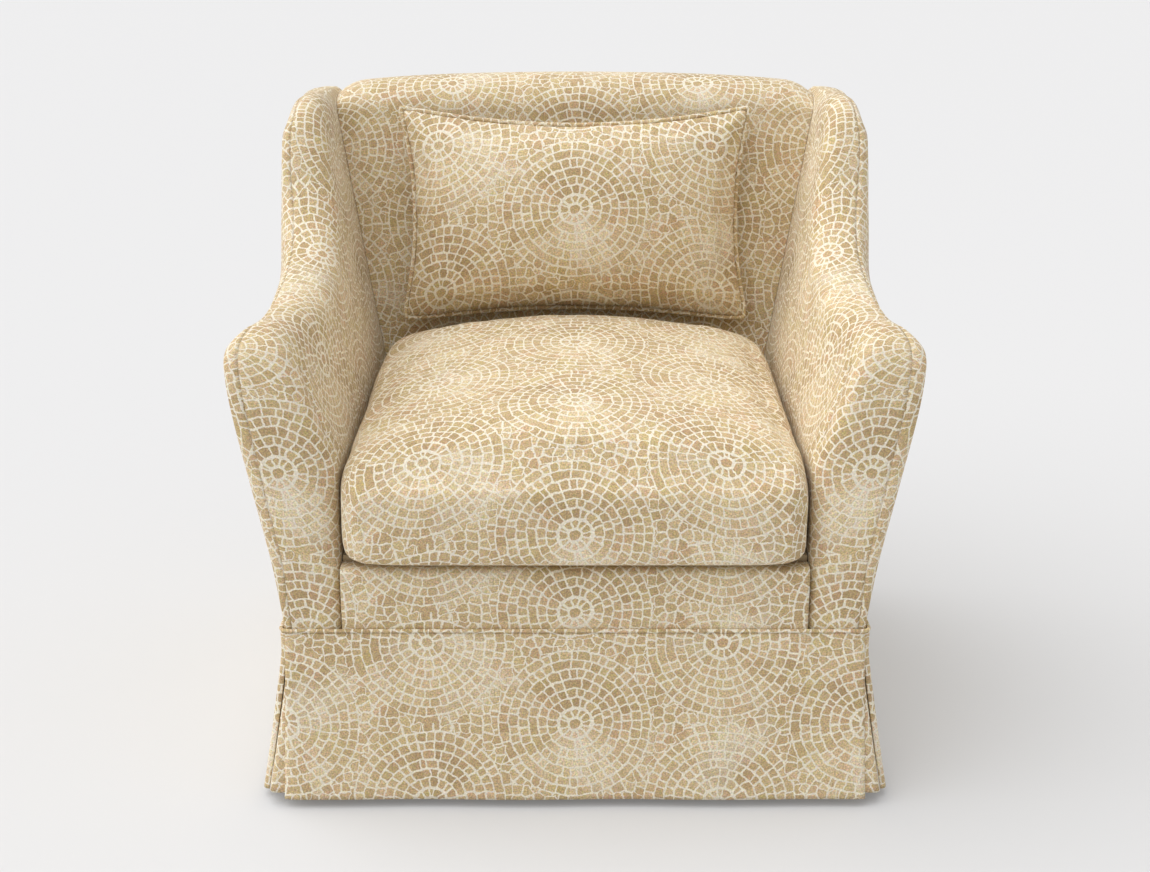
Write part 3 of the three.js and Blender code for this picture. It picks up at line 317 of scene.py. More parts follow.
def place_pair(right, node):
    """Places a right-hand piece and its mirror image."""
    left = mirror_copy(right, right.name.replace("right", "left"))
    place(right, "frame", f"right_{node}")
    place(left, "frame", f"left_{node}")
    return right, left


# Materials

class Value:
    """A socket to reckon with: each sum or comparison adds a math node."""

    def __init__(self, nodes, socket):
        self.nodes, self.socket = nodes, socket

    def __add__(self, other):
        return self.nodes.math("ADD", self, other)

    def __radd__(self, other):
        return self.nodes.math("ADD", other, self)

    def __sub__(self, other):
        return self.nodes.math("SUBTRACT", self, other)

    def __rsub__(self, other):
        return self.nodes.math("SUBTRACT", other, self)

    def __mul__(self, other):
        return self.nodes.math("MULTIPLY", self, other)

    def __truediv__(self, other):
        return self.nodes.math("DIVIDE", self, other)

    def __lt__(self, other):
        return self.nodes.math("LESS_THAN", self, other)

    def __gt__(self, other):
        return self.nodes.math("GREATER_THAN", self, other)


class Nodes:
    """Short calls that add nodes to a tree."""

    def __init__(self, tree):
        self.tree = tree

    def add(self, kind, **settings):
        node = self.tree.nodes.new(kind)
        for key, value in settings.items():
            setattr(node, key, value)
        return node

    def put(self, socket, value):
        value = getattr(value, "socket", value)
        if isinstance(value, bpy.types.NodeSocket):
            self.tree.links.new(value, socket)
        else:
            socket.default_value = value

    def fill(self, node, named=None, values=()):
        for socket, value in zip(node.inputs, values):
            self.put(socket, value)
        for key, value in (named or {}).items():
            if value is not None:
                self.put(node.inputs[key], value)
        return node

    def math(self, op, *values):
        return Value(self, self.fill(self.add("ShaderNodeMath", operation=op), values=values).outputs[0])

    def vector(self, op, a, b=None, scale=None):
        node = self.add("ShaderNodeVectorMath", operation=op)
        return self.fill(node, {0: a, 1: b, "Scale": scale}).outputs["Vector"]

    def xyz(self, *values):
        return self.fill(self.add("ShaderNodeCombineXYZ"), values=values).outputs[0]

    def split(self, value):
        node = self.fill(self.add("ShaderNodeSeparateXYZ"), {0: value})
        return [Value(self, output) for output in node.outputs]

    def noise(self, vector, scale, detail=2.0, rough=0.5, color=False):
        node = self.add("ShaderNodeTexNoise")
        self.fill(node, {"Vector": vector, "Scale": scale, "Detail": detail, "Roughness": rough})
        return node.outputs["Color"] if color else Value(self, node.outputs["Fac"])

    def random(self, *seeds):
        node = self.add("ShaderNodeTexWhiteNoise", noise_dimensions="3D")
        return Value(self, self.fill(node, {"Vector": self.xyz(*seeds)}).outputs["Value"])

    def mix(self, a, b, factor, mode="MIX"):
        node = self.add("ShaderNodeMix", data_type="RGBA", blend_type=mode)
        return self.fill(node, {0: factor, 6: a, 7: b}).outputs[2]

    def lerp(self, a, b, factor):
        node = self.add("ShaderNodeMix", data_type="FLOAT")
        return Value(self, self.fill(node, {0: factor, 2: a, 3: b}).outputs[0])

    def between(self, value, low, high, to_low=0.0, to_high=1.0, easing="SMOOTHSTEP"):
        node = self.add("ShaderNodeMapRange", interpolation_type=easing)
        return Value(self, self.fill(node, values=(value, low, high, to_low, to_high)).outputs[0])

    def ramp(self, value, stops, mode="LINEAR"):
        node = self.add("ShaderNodeValToRGB")
        ramp = node.color_ramp
        ramp.interpolation = mode
        while len(ramp.elements) < len(stops):
            ramp.elements.new(0.5)
        for element, (position, color) in zip(ramp.elements, stops):
            element.position = position
            element.color = (*color, 1)
        return self.fill(node, {0: value}).outputs[0]

    def surface(self, color, roughness, height, strength, distance, settings):
        """The shader, with a bump and the output."""
        given = {"Base Color": color, "Roughness": roughness, **settings}
        shader = self.fill(self.add("ShaderNodeBsdfPrincipled"), given)
        given = {"Height": height, "Strength": strength, "Distance": distance}
        bump = self.fill(self.add("ShaderNodeBump"), given)
        self.put(shader.inputs["Normal"], bump.outputs[0])
        self.put(self.add("ShaderNodeOutputMaterial").inputs[0], shader.outputs[0])


def new_material(name):
    material = bpy.data.materials.new(name)
    material.use_nodes = True
    material.node_tree.nodes.clear()
    return material, Nodes(material.node_tree)


def srgb(r, g, b):
    """A colour in 0 to 255 display values as scene-linear."""
    return tuple(((c / 255 + 0.055) / 1.055) ** 2.4 for c in (r, g, b))


def rgba(*color):
    return (*srgb(*color), 1)


# A print of round medallions on a staggered lattice, laid like paving. Lengths in millimetres.
LATTICE_X, LATTICE_Y = 360.0, 208.0
RINGS = [  # inner and outer radius, number of stones; none where only grout shows
    (0.0, 7.4, 1),
    (7.4, 8.4, 0),
    (8.4, 19.6, 12),
    (19.6, 21.2, 0),
    (21.2, 34.5, 17),
    (34.5, 46.0, 23),
    (46.0, 58.0, 28),
    (58.0, 70.0, 34),
    (70.0, 82.0, 40),
    (82.0, 94.0, 47),
    (94.0, 106.5, 53),
    (106.5, 128.0, 60),
]
RING_SPAN = 128.0
JOINT_SHIFT = 0.46  # how far a joint between two stones strays, as a share of a stone
LONE_SHARE = 0.93  # share of the stones that aren't joined to their neighbour
RUBBLE = 12.6  # pitch of the odd stones that fill in between medallions
RUBBLE_BORDER, RUBBLE_RADIUS = 5.5, 101.0  # where they lie: near a border, or this far out
MIDDLE, FULL = (0.5, 0.5, 0.5), (1.0, 1.0, 1.0)


def lattice(n, point):
    """From a point to its medallion: offset, distance, which lattice, and distance to the border."""
    x, y, _ = n.split(point)

    def local(dx, dy):
        sx, sy = x - dx, y - dy
        lx = sx - n.math("ROUND", sx / LATTICE_X) * LATTICE_X
        ly = sy - n.math("ROUND", sy / LATTICE_Y) * LATTICE_Y
        return lx, ly, n.math("SQRT", lx * lx + ly * ly)

    ax, ay, ar = local(0.0, 0.0)
    bx, by, br = local(LATTICE_X / 2, LATTICE_Y / 2)
    second = br < ar
    lx, ly, r = n.lerp(ax, bx, second), n.lerp(ay, by, second), n.math("MINIMUM", ar, br)
    border = n.math("ABSOLUTE", br * br - ar * ar) / math.hypot(LATTICE_X, LATTICE_Y)
    border = n.math("MINIMUM", border, LATTICE_Y / 2 - n.math("ABSOLUTE", ly))
    return lx, ly, r, second, border


def mosaic(n, cloth):
    """Stone mask, a random number for each stone, and the place within a medallion."""

    def stray(point, scale, detail, reach):
        way = n.vector("SUBTRACT", n.noise(cloth, scale, detail, color=True), MIDDLE)
        return n.vector("ADD", point, n.vector("SCALE", way, scale=reach))

    big = n.vector("SCALE", cloth, scale=1000.0)
    warped = stray(stray(big, 14.0, 1.0, 7.0), 95.0, 1.5, 5.5)
    lx, ly, r, second, _ = lattice(n, warped)
    turn = n.math("ARCTAN2", ly, lx) / (2 * math.pi)
    stops = [(a / RING_SPAN, (a / RING_SPAN, b / RING_SPAN, count / 100)) for a, b, count in RINGS]
    ring = n.split(n.ramp(r / RING_SPAN, stops, "CONSTANT"))
    inner, outer = ring[0] * RING_SPAN, ring[1] * RING_SPAN
    given = n.math("ROUND", ring[2] * 100.0)
    count = n.math("MAXIMUM", given, 1.0)
    at = turn * count + n.random(ring[0], second, 3.0)
    whole = n.math("FLOOR", at)
    part = at - whole

    def edge(step):
        index = n.math("FLOORED_MODULO", whole + step, count)
        return n.random(index, ring[0], second) * JOINT_SHIFT

    here = edge(0.0)
    before = part < here
    low = n.lerp(here, edge(-1.0) - 1.0, before)
    high = n.lerp(edge(1.0) + 1.0, here, before)
    stone = whole - before
    arc = r * (2 * math.pi) / count
    # now and then two neighbours in a ring are one long stone
    index = n.math("FLOORED_MODULO", stone, count)
    after = n.math("FLOORED_MODULO", stone + 1.0, count)
    joined = n.random(index, ring[1], second) > LONE_SHARE
    joins_next = n.random(after, ring[1], second) > LONE_SHARE
    side = n.math("MINIMUM", part - low + joined, high - part + joins_next) * arc
    side = n.lerp(side, 20.0, count < 1.5)
    stone_id = n.random(index, ring[0], second + 7.0)
    radial = n.lerp(outer - r, n.math("MINIMUM", r - inner, outer - r), inner > 0.5)
    inside = n.math("SMOOTH_MIN", side, radial, 2.4)
    inside = n.lerp(inside, -3.0, given < 0.5)

    # odd stones between the medallions, whole ones only
    cells = n.vector("SCALE", warped, scale=1 / RUBBLE)

    def voronoi(feature):
        node = n.add("ShaderNodeTexVoronoi", feature=feature, voronoi_dimensions="2D")
        return n.fill(node, {"Vector": cells, "Scale": 1.0, "Randomness": 0.72}).outputs

    cell = voronoi("F1")
    _, _, cell_r, _, cell_border = lattice(n, n.vector("SCALE", cell["Position"], scale=RUBBLE))
    odd = n.math("MAXIMUM", cell_border < RUBBLE_BORDER, cell_r > RUBBLE_RADIUS)
    cell_inside = n.math("MULTIPLY", voronoi("DISTANCE_TO_EDGE")["Distance"], RUBBLE) - 0.1
    inside = n.lerp(inside, cell_inside, odd)
    stone_id = n.lerp(stone_id, n.split(cell["Color"])[0], odd)

    inside = inside + (n.noise(cloth, 420.0, 1.0) - 0.5) * 1.2
    width = 0.5 + stone_id * 0.5
    return n.between(inside, width, width + 0.7), stone_id, lx, ly, r


TONES = [
    (0.0, srgb(166, 141, 104)),
    (0.3, srgb(188, 163, 123)),
    (0.55, srgb(205, 182, 142)),
    (0.8, srgb(220, 199, 162)),
    (1.0, srgb(234, 219, 190)),
]
PINK, YELLOW = rgba(212, 164, 134), rgba(205, 190, 120)
GROUT, DULL_GROUT = rgba(246, 238, 217), rgba(222, 214, 196)


def fabric(name):
    material, n = new_material(name)
    cloth = n.add("ShaderNodeAttribute", attribute_name=FABRIC_COORDS).outputs["Vector"]
    mask, stone_id, lx, ly, r = mosaic(n, cloth)

    # Stones: washes of lighter and darker tan, a darker crescent above the centre, a paler one below
    tone = stone_id * 0.34 + n.noise(cloth, 9.0, 3.0, 0.55) * 1.05
    lean = (ly * 0.9 - lx * 0.15) / 60.0
    tone = tone - lean * (1.0 - n.between(r, 25.0, 95.0)) * 0.30
    color = n.ramp(n.between(tone, 0.15, 1.25, easing="LINEAR"), TONES)
    hue = n.noise(cloth, 26.0, 2.0, 0.6)
    color = n.mix(color, PINK, n.between(hue, 0.5, 0.7) * 0.28)
    color = n.mix(color, YELLOW, n.between(hue, 0.5, 0.3) * 0.24)
    color = n.mix(color, GROUT, n.between(n.noise(cloth, 7.5, 3.0, 0.6), 0.52, 0.72) * 0.36)
    color = n.mix(n.mix(GROUT, DULL_GROUT, n.noise(cloth, 30.0, 2.0)), color, mask)

    # Linen: threads both ways with slubs, and flecks of darker, paler and tinted yarn
    big = n.vector("SCALE", cloth, scale=1000.0)
    warp = n.noise(n.vector("MULTIPLY", big, (1.15, 0.16, 1.0)), 1.0, 2.0, 0.6)
    weft = n.noise(n.vector("MULTIPLY", big, (0.16, 1.15, 1.0)), 1.0, 2.0, 0.6)
    thread = (warp + weft) * 0.5
    grain = n.between(thread, 0.3, 0.7, 0.78, 1.18, "LINEAR")
    color = n.mix(color, n.xyz(grain, grain, grain), 1.0, "MULTIPLY")
    flecks = n.between(n.noise(cloth, 470.0, 1.0, 0.6), 0.25, 0.75, 0.66, 1.34, "LINEAR")
    speck = n.vector("SUBTRACT", n.noise(cloth, 390.0, 1.0, 0.6, color=True), MIDDLE)
    speck = n.vector("ADD", n.vector("MULTIPLY", speck, (0.35, 0.35, 0.9)), FULL)
    speck = n.vector("SCALE", speck, scale=flecks)
    color = n.mix(color, speck, n.lerp(0.45, 1.0, mask), "MULTIPLY")
    settings = {"Specular IOR Level": 0.18, "Sheen Weight": 0.12, "Sheen Roughness": 0.5}
    n.surface(color, 0.92, thread + mask * 0.15, 0.35, 0.0005, settings)
    return material


def plain_material(name, light, dark, scale, roughness, stretch=FULL, metallic=0.0):
    """A material with two tones, a stretched grain and a fine bump, in object coordinates."""
    material, n = new_material(name)
    spread = n.vector("MULTIPLY", n.add("ShaderNodeTexCoord").outputs["Object"], stretch)
    fine = n.noise(spread, scale * 7, 3.0, 0.6)
    tone = n.noise(spread, scale, 6.0, 0.6) * 0.7 + fine * 0.3
    stops = [(0, srgb(*dark)), (1, srgb(*light))]
    color = n.ramp(n.between(tone, 0.3, 0.7, easing="LINEAR"), stops)
    rough = n.between(fine, 0.3, 0.7, roughness - 0.06, roughness + 0.06, "LINEAR")
    n.surface(color, rough, tone, 0.5, 0.0004, {"Metallic": metallic})
    return material


CLOTH = fabric("printed_linen")
PLAIN = {  # name, light and dark tone, scale of the grain, roughness, stretch, metallic
    "lining": ("cotton_lining", (196, 178, 146), (172, 154, 122), 400, 0.95),
    "foam": ("foam", (233, 222, 190), (219, 205, 168), 900, 0.95),
    "cambric": ("black_cambric", (44, 41, 38), (28, 26, 24), 700, 0.95),
    "hardwood": ("sawn_hardwood", (190, 150, 103), (150, 112, 72), 40, 0.7, (1, 0.12, 1)),
    "leg_wood": ("stained_wood", (92, 64, 44), (58, 38, 25), 60, 0.45, (1, 1, 0.12)),
    "steel": ("spring_steel", (150, 153, 158), (110, 113, 118), 300, 0.36, FULL, 1.0),
    "nylon": ("glide_nylon", (50, 49, 48), (38, 37, 36), 500, 0.5),
}
BY_SLOT = {slot: plain_material(*given) for slot, given in PLAIN.items()}
BY_SLOT["fabric"] = CLOTH
for part in frame["record"]["subparts"]:
    set_material(frame["nodes"][part["node"]], BY_SLOT[part["material_slot"]])


# Arm and wing

NOSE, SLOPE_NOSE = 34.0, 46.0
POWER, FOOT_POWER = 2.5, 6.0
FOOT_HEIGHT, FOOT_FADE = 232, 90
ANGLES = np.linspace(0, math.pi / 2, 15)
SEAM_ROWS = 3  # rows past the crest to the seam of the outside panel
SEAM_CREASE = 1.2
FACING_COLUMNS = 80  # columns on the arm's front
FACING_PRINT = 432  # height of the medallion in the middle of the facing


def side_surface(columns=260, wall_rows=36):
    """Inner and outer wall, each with its cloth, from the crest over the rounded edge to the wall's end."""
    points, inward, shares = outline_frames(columns)
    depth = points[:, 0] - front_y
    # the cloth settles on the wing's padding, most at its rear end
    fall = 6.5 + 2.5 * smooth((depth - 600) / 80) + 5 * smooth((depth - 688) / 28)
    points[:, 1] -= fall * smooth((points[:, 1] - 760) / 60)
    ends = inner_end(shares)
    height = points[:, 1]
    facing = clamp(inward[:, 0]) ** 2
    wing_top = smooth((height - 770) / 45)
    arm_top = smooth((height - 430) / 70) * (1 - smooth((height - 640) / 40))
    flat_top = wing_top * smooth((depth - 540) / 80)
    slope = smooth((depth - 20) / 60) * (1 - smooth((depth - 380) / 60)) * (1 - facing)
    foot = 1 - smooth((height - FOOT_HEIGHT) / FOOT_FADE)
    walls = np.linspace(0, 1, wall_rows + 1)[1:] ** 1.5
    grids = {}
    for name, wall_x in (("inner", inside_x), ("outer", outside_x)):
        if name == "inner":
            power = lerp(lerp(POWER, 4.0, arm_top * facing), 3.4, flat_top)
            nose = np.full_like(height, NOSE)
        else:
            power = lerp(POWER, 3.6, facing * (1 - wing_top))
            nose = lerp(NOSE, 22.0, facing * (1 - wing_top)) + 20.0 * wing_top
            nose = lerp(nose, SLOPE_NOSE, slope)
            power = lerp(lerp(power, 2.3, wing_top), 2.0, slope * (1 - wing_top))
            power = lerp(power, 3.2, flat_top)
        power = lerp(power, FOOT_POWER, foot)[:, None]
        nose_depth = nose[:, None] * (1 - np.cos(ANGLES)[None] ** (2 / power))
        full = np.sin(ANGLES)[None] ** (2 / power)
        rows = []
        for d, f in zip(nose_depth.T, full.T):
            yz = points + inward * d[:, None]
            middle = frame_x(yz[:, 0], yz[:, 1])
            x = middle + (wall_x(yz[:, 0], yz[:, 1]) - middle) * f
            rows.append(np.stack([x, yz[:, 0], yz[:, 1]], 1))
        start = points + inward * nose[:, None]
        for t in walls:
            yz = lerp(start, ends, t)
            x = wall_x(yz[:, 0], yz[:, 1])
            if name == "inner":
                # the pull line where the facing turns into the inside of the arm
                past = np.linalg.norm(yz - start, axis=1)
                x = x + 9.0 * arm_top * facing * np.exp(-(((past - 11) / 8) ** 2))
            rows.append(np.stack([x, yz[:, 0], yz[:, 1]], 1))
        surface = np.stack(rows, 1)
        run = run_along(surface[:, : len(ANGLES)])
        left = run[:, -1:] - run
        if name == "inner":
            # up the arm front the print follows the middle of the facing, in the outer wall as well
            crest = np.interp(FACING_PRINT, points[:FACING_COLUMNS, 1], run[:FACING_COLUMNS, -1])
            steady = lerp(run[:, -1], crest, smooth((points[:, 1] - 500) / 80))
            steady = np.where(np.arange(columns + 1) > columns // 3, crest, steady)
            slide = (steady - crest)[:, None]
        cloth = surface[:, :, 1:].copy()
        cloth[:, : len(ANGLES)] = start[:, None] - inward[:, None] * left[:, :, None]
        cloth += inward[:, None] * slide[:, :, None]
        grids[name] = (surface, cloth)
    return grids, points, inward


GRIDS, CREST, INWARD = side_surface()


def thick(surface, inset):
    """A second layer under a surface, inset along its normals."""
    normal = np.cross(np.gradient(surface, axis=0), np.gradient(surface, axis=1))
    normal /= np.maximum(np.linalg.norm(normal, axis=2), 1e-9)[:, :, None]
    return surface + normal * inset


def side_cover(name, surface, cloth, phase, inset, over=0):
    """A cover of one side, creased along its seam, that turns over the wing's rear end to its frame.

    The first rows, as many as over says, lie past the crest.
    """
    surface[:, 0, 1:] += INWARD * SEAM_CREASE
    cloth = cloth - phase
    edge = surface[-1]
    z = np.where(np.arange(len(edge)) < over, CREST[-1, 1], edge[:, 2])
    z = wall_top + (z - wall_top) * 0.9
    goal = np.stack([frame_x(rear_frame_y(z), z), rear_frame_y(z), z], 1)
    across = np.abs((goal - edge)[:, [0, 2]]) * (1, -1)
    columns, prints = [], []
    for t in np.linspace(0, 1, 9)[1:]:
        column = lerp(edge, goal, t)
        column[:, 1] = rear_frame_y(column[:, 2])
        column[:, 1] += 3.0 * (1 - (1 - t) ** 3) * smooth((column[:, 2] - 786) / 12)
        columns.append(column)
        prints.append(cloth[-1] + across * t)
    surface = np.concatenate([surface, columns])
    return closed_sheet(name, surface, thick(surface, inset), np.concatenate([cloth, prints]))


def build_arm():
    inner, inner_cloth = GRIDS["inner"]
    outer, outer_cloth = GRIDS["outer"]
    # the facing's outer part, past the crest line, belongs to the inside cover
    over = slice(SEAM_ROWS, 0, -1)
    over_cloth = inner_cloth[:, :1] - (outer_cloth[:, over] - outer_cloth[:, :1])
    surface = np.concatenate([outer[:, over], inner], 1)
    cloth = np.concatenate([over_cloth, inner_cloth], 1)
    middle = cloth[:FACING_COLUMNS, SEAM_ROWS]
    height = FACING_PRINT + 0.2
    phase = (np.interp(height, middle[:, 1], middle[:, 0]), height)
    return side_cover("right_arm_cover", surface, cloth, phase, -5.0, SEAM_ROWS)


def build_outside():
    outer, cloth = GRIDS["outer"]
    surface = outer[:, SEAM_ROWS:].copy()
    surface[:, 1:, 0] += 0.8
    phase = (front_y + 250, 400)
    return side_cover("right_outside_cover", surface, cloth[:, SEAM_ROWS:], phase, 4.0)


place_pair(build_arm(), "inside_arm")
place_pair(build_outside(), "outside_arm")


# Inside back with its roll, and outside back

ROLL_RISE, ROLL_DROP, BACK_CROWN, PAD, ROLL_WALL = 60, 13, 8, 55, 42
ROLL_BASE = back_height - ROLL_RISE
ROLL_FRONT = inside_back_face(ROLL_BASE)
ROLL_REAR = rear_frame_y(ROLL_BASE) + back_panel
BACK_PRINT_X, BACK_PRINT_Z = 180.0, 832  # a medallion near the crest


def inside_back_grid(columns=150, pad_rows=44, roll_rows=40):
    across = np.sin(np.linspace(-1, 1, columns + 1) * math.pi / 2)
    crown = BACK_CROWN * (1 - across**2)
    edge = 1 - (1 - clamp((1 - np.abs(across)) / 0.12)) ** 2
    drop = 8 * across**4 + (1 - edge) * ROLL_DROP + 8 * np.abs(across) ** 1.8
    layers = []
    for inset in (0.0, 1.0):
        rows = []
        for row in range(pad_rows + roll_rows + 1):
            if row <= pad_rows:
                t = row / pad_rows
                z = np.full_like(across, lerp(deck_height + 0.3, ROLL_BASE, t))
                wall = lerp(PAD, ROLL_WALL, smooth(t * 6 - 4))
                y = inside_back_face(z) - crown * math.sin(math.pi * t) + inset * wall
            else:
                turn = math.pi * (row - pad_rows) / roll_rows
                reach = (ROLL_REAR - ROLL_FRONT) / 2 - inset * ROLL_WALL
                rise = ROLL_RISE - inset * (ROLL_WALL + 0.3) - (drop + 1.2) * (1 - inset)
                y = np.full_like(across, (ROLL_REAR + ROLL_FRONT) / 2 - reach * math.cos(turn))
                z = ROLL_BASE + rise * math.sin(turn) ** 0.8
            half = inside_x(y, np.minimum(z, wing_height)) - 0.6
            rows.append(np.stack([across * half, y, z], 1))
        layers.append(np.stack(rows, 1))
    front = layers[0]
    middle = front[columns // 2]
    run = run_along(middle)
    up = run - np.interp(BACK_PRINT_Z, middle[:60, 2], run[:60])
    cloth = np.stack([front[:, :, 0] - BACK_PRINT_X, np.broadcast_to(up, front.shape[:2])], 2)
    return front, layers[1], cloth


place(closed_sheet("inside_back_cover", *inside_back_grid()), "frame", "inside_back")


def outside_back_grid(columns=120, rows=70):
    across = np.linspace(-1, 1, columns + 1)
    layers = []
    for layer in (1, 0):
        grid = []
        for j in range(rows + 1):
            z = lerp(shell_floor, ROLL_BASE - 0.3, j / rows)
            edge = 1 - np.abs(across) ** 10
            y = rear_frame_y(z) + 0.3 + layer * back_panel * lerp(0.35, 1, edge)
            half = outside_x(rear_frame_y(z), z) - 4
            grid.append(np.stack([across * half, y, np.full_like(across, z)], 1))
        layers.append(np.stack(grid, 1))
    return layers[0], layers[1], layers[0][:, :, [0, 2]] - (0, 500)


place(closed_sheet("outside_back_cover", *outside_back_grid()), "frame", "outside_back")


# Front border

BORDER_ROLL, BORDER_TURN = 9, 300  # radius of the rounded top edge, and the height where it starts
BORDER_PRINT = 253.2  # height of the medallions


def border_grid(columns=110):
    profile = [(0, shell_floor), (0, 215), (-0.6, 240), (-1.0, 265), (-0.6, 285), (0, BORDER_TURN)]
    for a in np.linspace(0, math.pi / 2, 8)[1:]:
        profile.append((BORDER_ROLL - BORDER_ROLL * math.cos(a), BORDER_TURN + BORDER_ROLL * math.sin(a)))
    profile += [(18, 309.2), (28, 309)]
    inner = [(17.6, z) if z < BORDER_TURN else (17.6 + 0.4 * y, BORDER_TURN) for y, z in profile]
    half = inside_span / 2 - 0.8
    across = np.linspace(-half, half, columns + 1)
    front = np.array([[(x, front_y + y, z) for y, z in profile] for x in across])
    back = np.array([[(x, front_y + y, z) for y, z in inner] for x in across])
    up = run_along(np.array(profile)) + shell_floor - BORDER_PRINT
    return front, back, np.stack([front[:, :, 0], np.broadcast_to(up, front.shape[:2])], 2)


place(closed_sheet("front_border_cover", *border_grid()), "frame", "front_border")


# Skirt

RIPPLE = 2.2  # height of the soft waves at the hem
WELT_RADIUS = 2.3
RETURN = 8.0  # how far a side panel turns round the corner
SKIRT_PRINT = 110.0  # height of the medallions
BACK_FACE = rear_frame_y(seam_height + 6) + 0.3 + back_panel


def front_skirt_y(v):
    return front_y - 0.7 - (skirt_flare - 8) * v - 8 * v * v


def side_skirt_x(v):
    return seam_span / 2 + 1.2 + side_flare * v - 4.0 * smooth(v / 0.16) * (1 - v * v)


def back_skirt_y(v):
    return BACK_FACE + 0.3 + 16 * v


def skirt_wave(u, v):
    """Soft waves, outwards only, that grow towards the hem."""
    wave = 0.5 + 0.28 * np.sin(u * 6 * math.pi) + 0.22 * np.sin(u * 17.3 + 1.1)
    return RIPPLE * v * wave


def skirt_plan(columns, layer):
    """A side panel in plan: how far in from its face, and its place from front to back."""
    radius = RETURN - (skirt_thickness - layer)
    turns = np.linspace(0, math.pi / 2, 9)
    straight = np.linspace(front_y + RETURN, BACK_FACE - RETURN, columns)
    first = [(radius * math.sin(t) - RETURN, front_y + RETURN - radius * math.cos(t)) for t in turns]
    last = [(x, front_y + BACK_FACE - y) for x, y in first[::-1]]
    middle = [(radius - RETURN, y) for y in straight[1:-1]]
    return np.array(first + middle + last)


def skirt_panel(name, kind, columns=140, rows=44):
    v = np.linspace(0, 1, rows + 1)[None, :]
    half = seam_span / 2 - 2.5 + side_flare / 4 * v
    layers = []
    for layer in (skirt_thickness, 0):
        if kind == "side":
            plan = skirt_plan(columns, layer)
            u = clamp((plan[:, 1:] - front_y) / (BACK_FACE - front_y))
            x = side_skirt_x(v) + skirt_thickness + plan[:, :1] + skirt_wave(u, v)
            y = plan[:, 1:] + 0 * v
        else:
            u = np.linspace(0, 1, columns + 1)[:, None]
            x = (2 * u - 1) * half
            # the ends of the panel lie a little closer to the body
            ease = 3.0 * clamp((np.abs(2 * u - 1) - 0.97) / 0.03) ** 2
            if kind == "front":
                y = front_skirt_y(v) - skirt_wave(u, v) - layer + ease * (1 - layer / 9)
            else:
                y = back_skirt_y(v) + skirt_wave(u, v) + layer - ease * (1 - layer / 9)
        z = lerp(seam_height, hem_height, v) + 0 * u
        layers.append(np.stack(np.broadcast_arrays(x, y, z), 2).astype(float))
    outer = layers[0]
    level = np.broadcast_to(seam_height - run_along(outer[len(outer) // 2]), outer.shape[:2])
    flat = run_along(outer[:, 0, :2])[:, None] + 0 * v if kind == "side" else outer[:, :, 0]
    return closed_sheet(name, outer, layers[1], np.stack([flat, level - SKIRT_PRINT], 2))


skirt_front = skirt_panel("skirt_front_panel", "front")
skirt_back = skirt_panel("skirt_back_panel", "back")
place(skirt_front, "frame", "skirt_front")
place(skirt_back, "frame", "skirt_back")
skirt_right, skirt_left = place_pair(skirt_panel("skirt_right_panel", "side"), "skirt_side")


def pleat(name, at_rear, columns=60, rows=24):
    """The insert behind a corner: two straight lengths with a rounded corner between them."""
    length, corner, top, thickness, gap = 62, 9, 197, 2, 0.6
    straight = 0.3  # share of the columns in each length
    side_gap = RETURN - skirt_thickness + gap
    v_top = (seam_height - top) / (seam_height - hem_height)
    v_hem = 0.97  # cut a little shorter than the panels
    out = 1 if at_rear else -1
    u = np.linspace(0, 1, columns + 1)[:, None]
    v = np.linspace(v_top, v_hem, rows + 1)[None]
    angle = clamp((u - straight) / (1 - 2 * straight)) * math.pi / 2
    before = clamp(1 - u / straight) * length
    after = clamp((u + straight - 1) / straight) * length
    x = side_skirt_x(v) - side_gap - corner + gap
    y = (back_skirt_y(v) if at_rear else front_skirt_y(v)) - out * corner
    z = lerp(seam_height, hem_height, v)
    layers = []
    for radius in (corner - gap, corner - gap - thickness):
        turned = (x + radius * np.sin(angle) - before, y + out * (radius * np.cos(angle) - after), z)
        layers.append(np.stack(np.broadcast_arrays(*turned), 2))
    outer = layers[0]
    run = run_along(outer[:, rows // 2])
    cloth = np.stack([np.broadcast_to(run[:, None], outer.shape[:2]), outer[:, :, 2] - 120], 2)
    return closed_sheet(name, outer, layers[1], cloth)


def panel_cut(width, length):
    return (width * MM, length * MM)


drop = math.hypot(seam_height - hem_height, skirt_flare)
for panel in (skirt_front, skirt_back):
    panel_cut(seam_span + side_flare / 2, drop + 4)
for panel in (skirt_right, skirt_left):
    wide = BACK_FACE - front_y + 2 * RETURN
    panel_cut(wide, drop + 6)

for rear_side, word in ((False, "front"), (True, "rear")):
    pair = place_pair(pleat(f"right_{word}_pleat", rear_side), f"{word}_pleat_insert")
    for piece, side in zip(pair, ("right", "left")):
        panel_cut(134, 182)


def tube(name, path, up, radius, sides=14, upright=False):
    """A closed welt round a loop of points; an upright one takes the print of the panel below it."""
    path = np.asarray(path, float)
    count = len(path)
    along = np.roll(path, -1, 0) - np.roll(path, 1, 0)
    along /= np.linalg.norm(along, axis=1)[:, None]
    out = np.cross(along, up)
    out /= np.linalg.norm(out, axis=1)[:, None]
    rise = np.cross(out, along)
    run = run_along(path)
    points, cloth = [], []
    for i in range(count):
        size = radius * (1 + 0.03 * math.sin(run[i] * 0.21) + 0.02 * math.sin(run[i] * 0.73))
        for k in range(sides):
            turn = k / sides * 2 * math.pi
            point = path[i] + out[i] * size * math.cos(turn) + rise[i] * size * math.sin(turn)
            points.append(point)
            level = point[2] - SKIRT_PRINT if upright else turn * radius
            cloth.append((point[0] if upright and abs(out[i][1]) > 0.5 else run[i], level))
    return new_mesh(name, points, ring_faces(count, sides, closed=True), cloth)


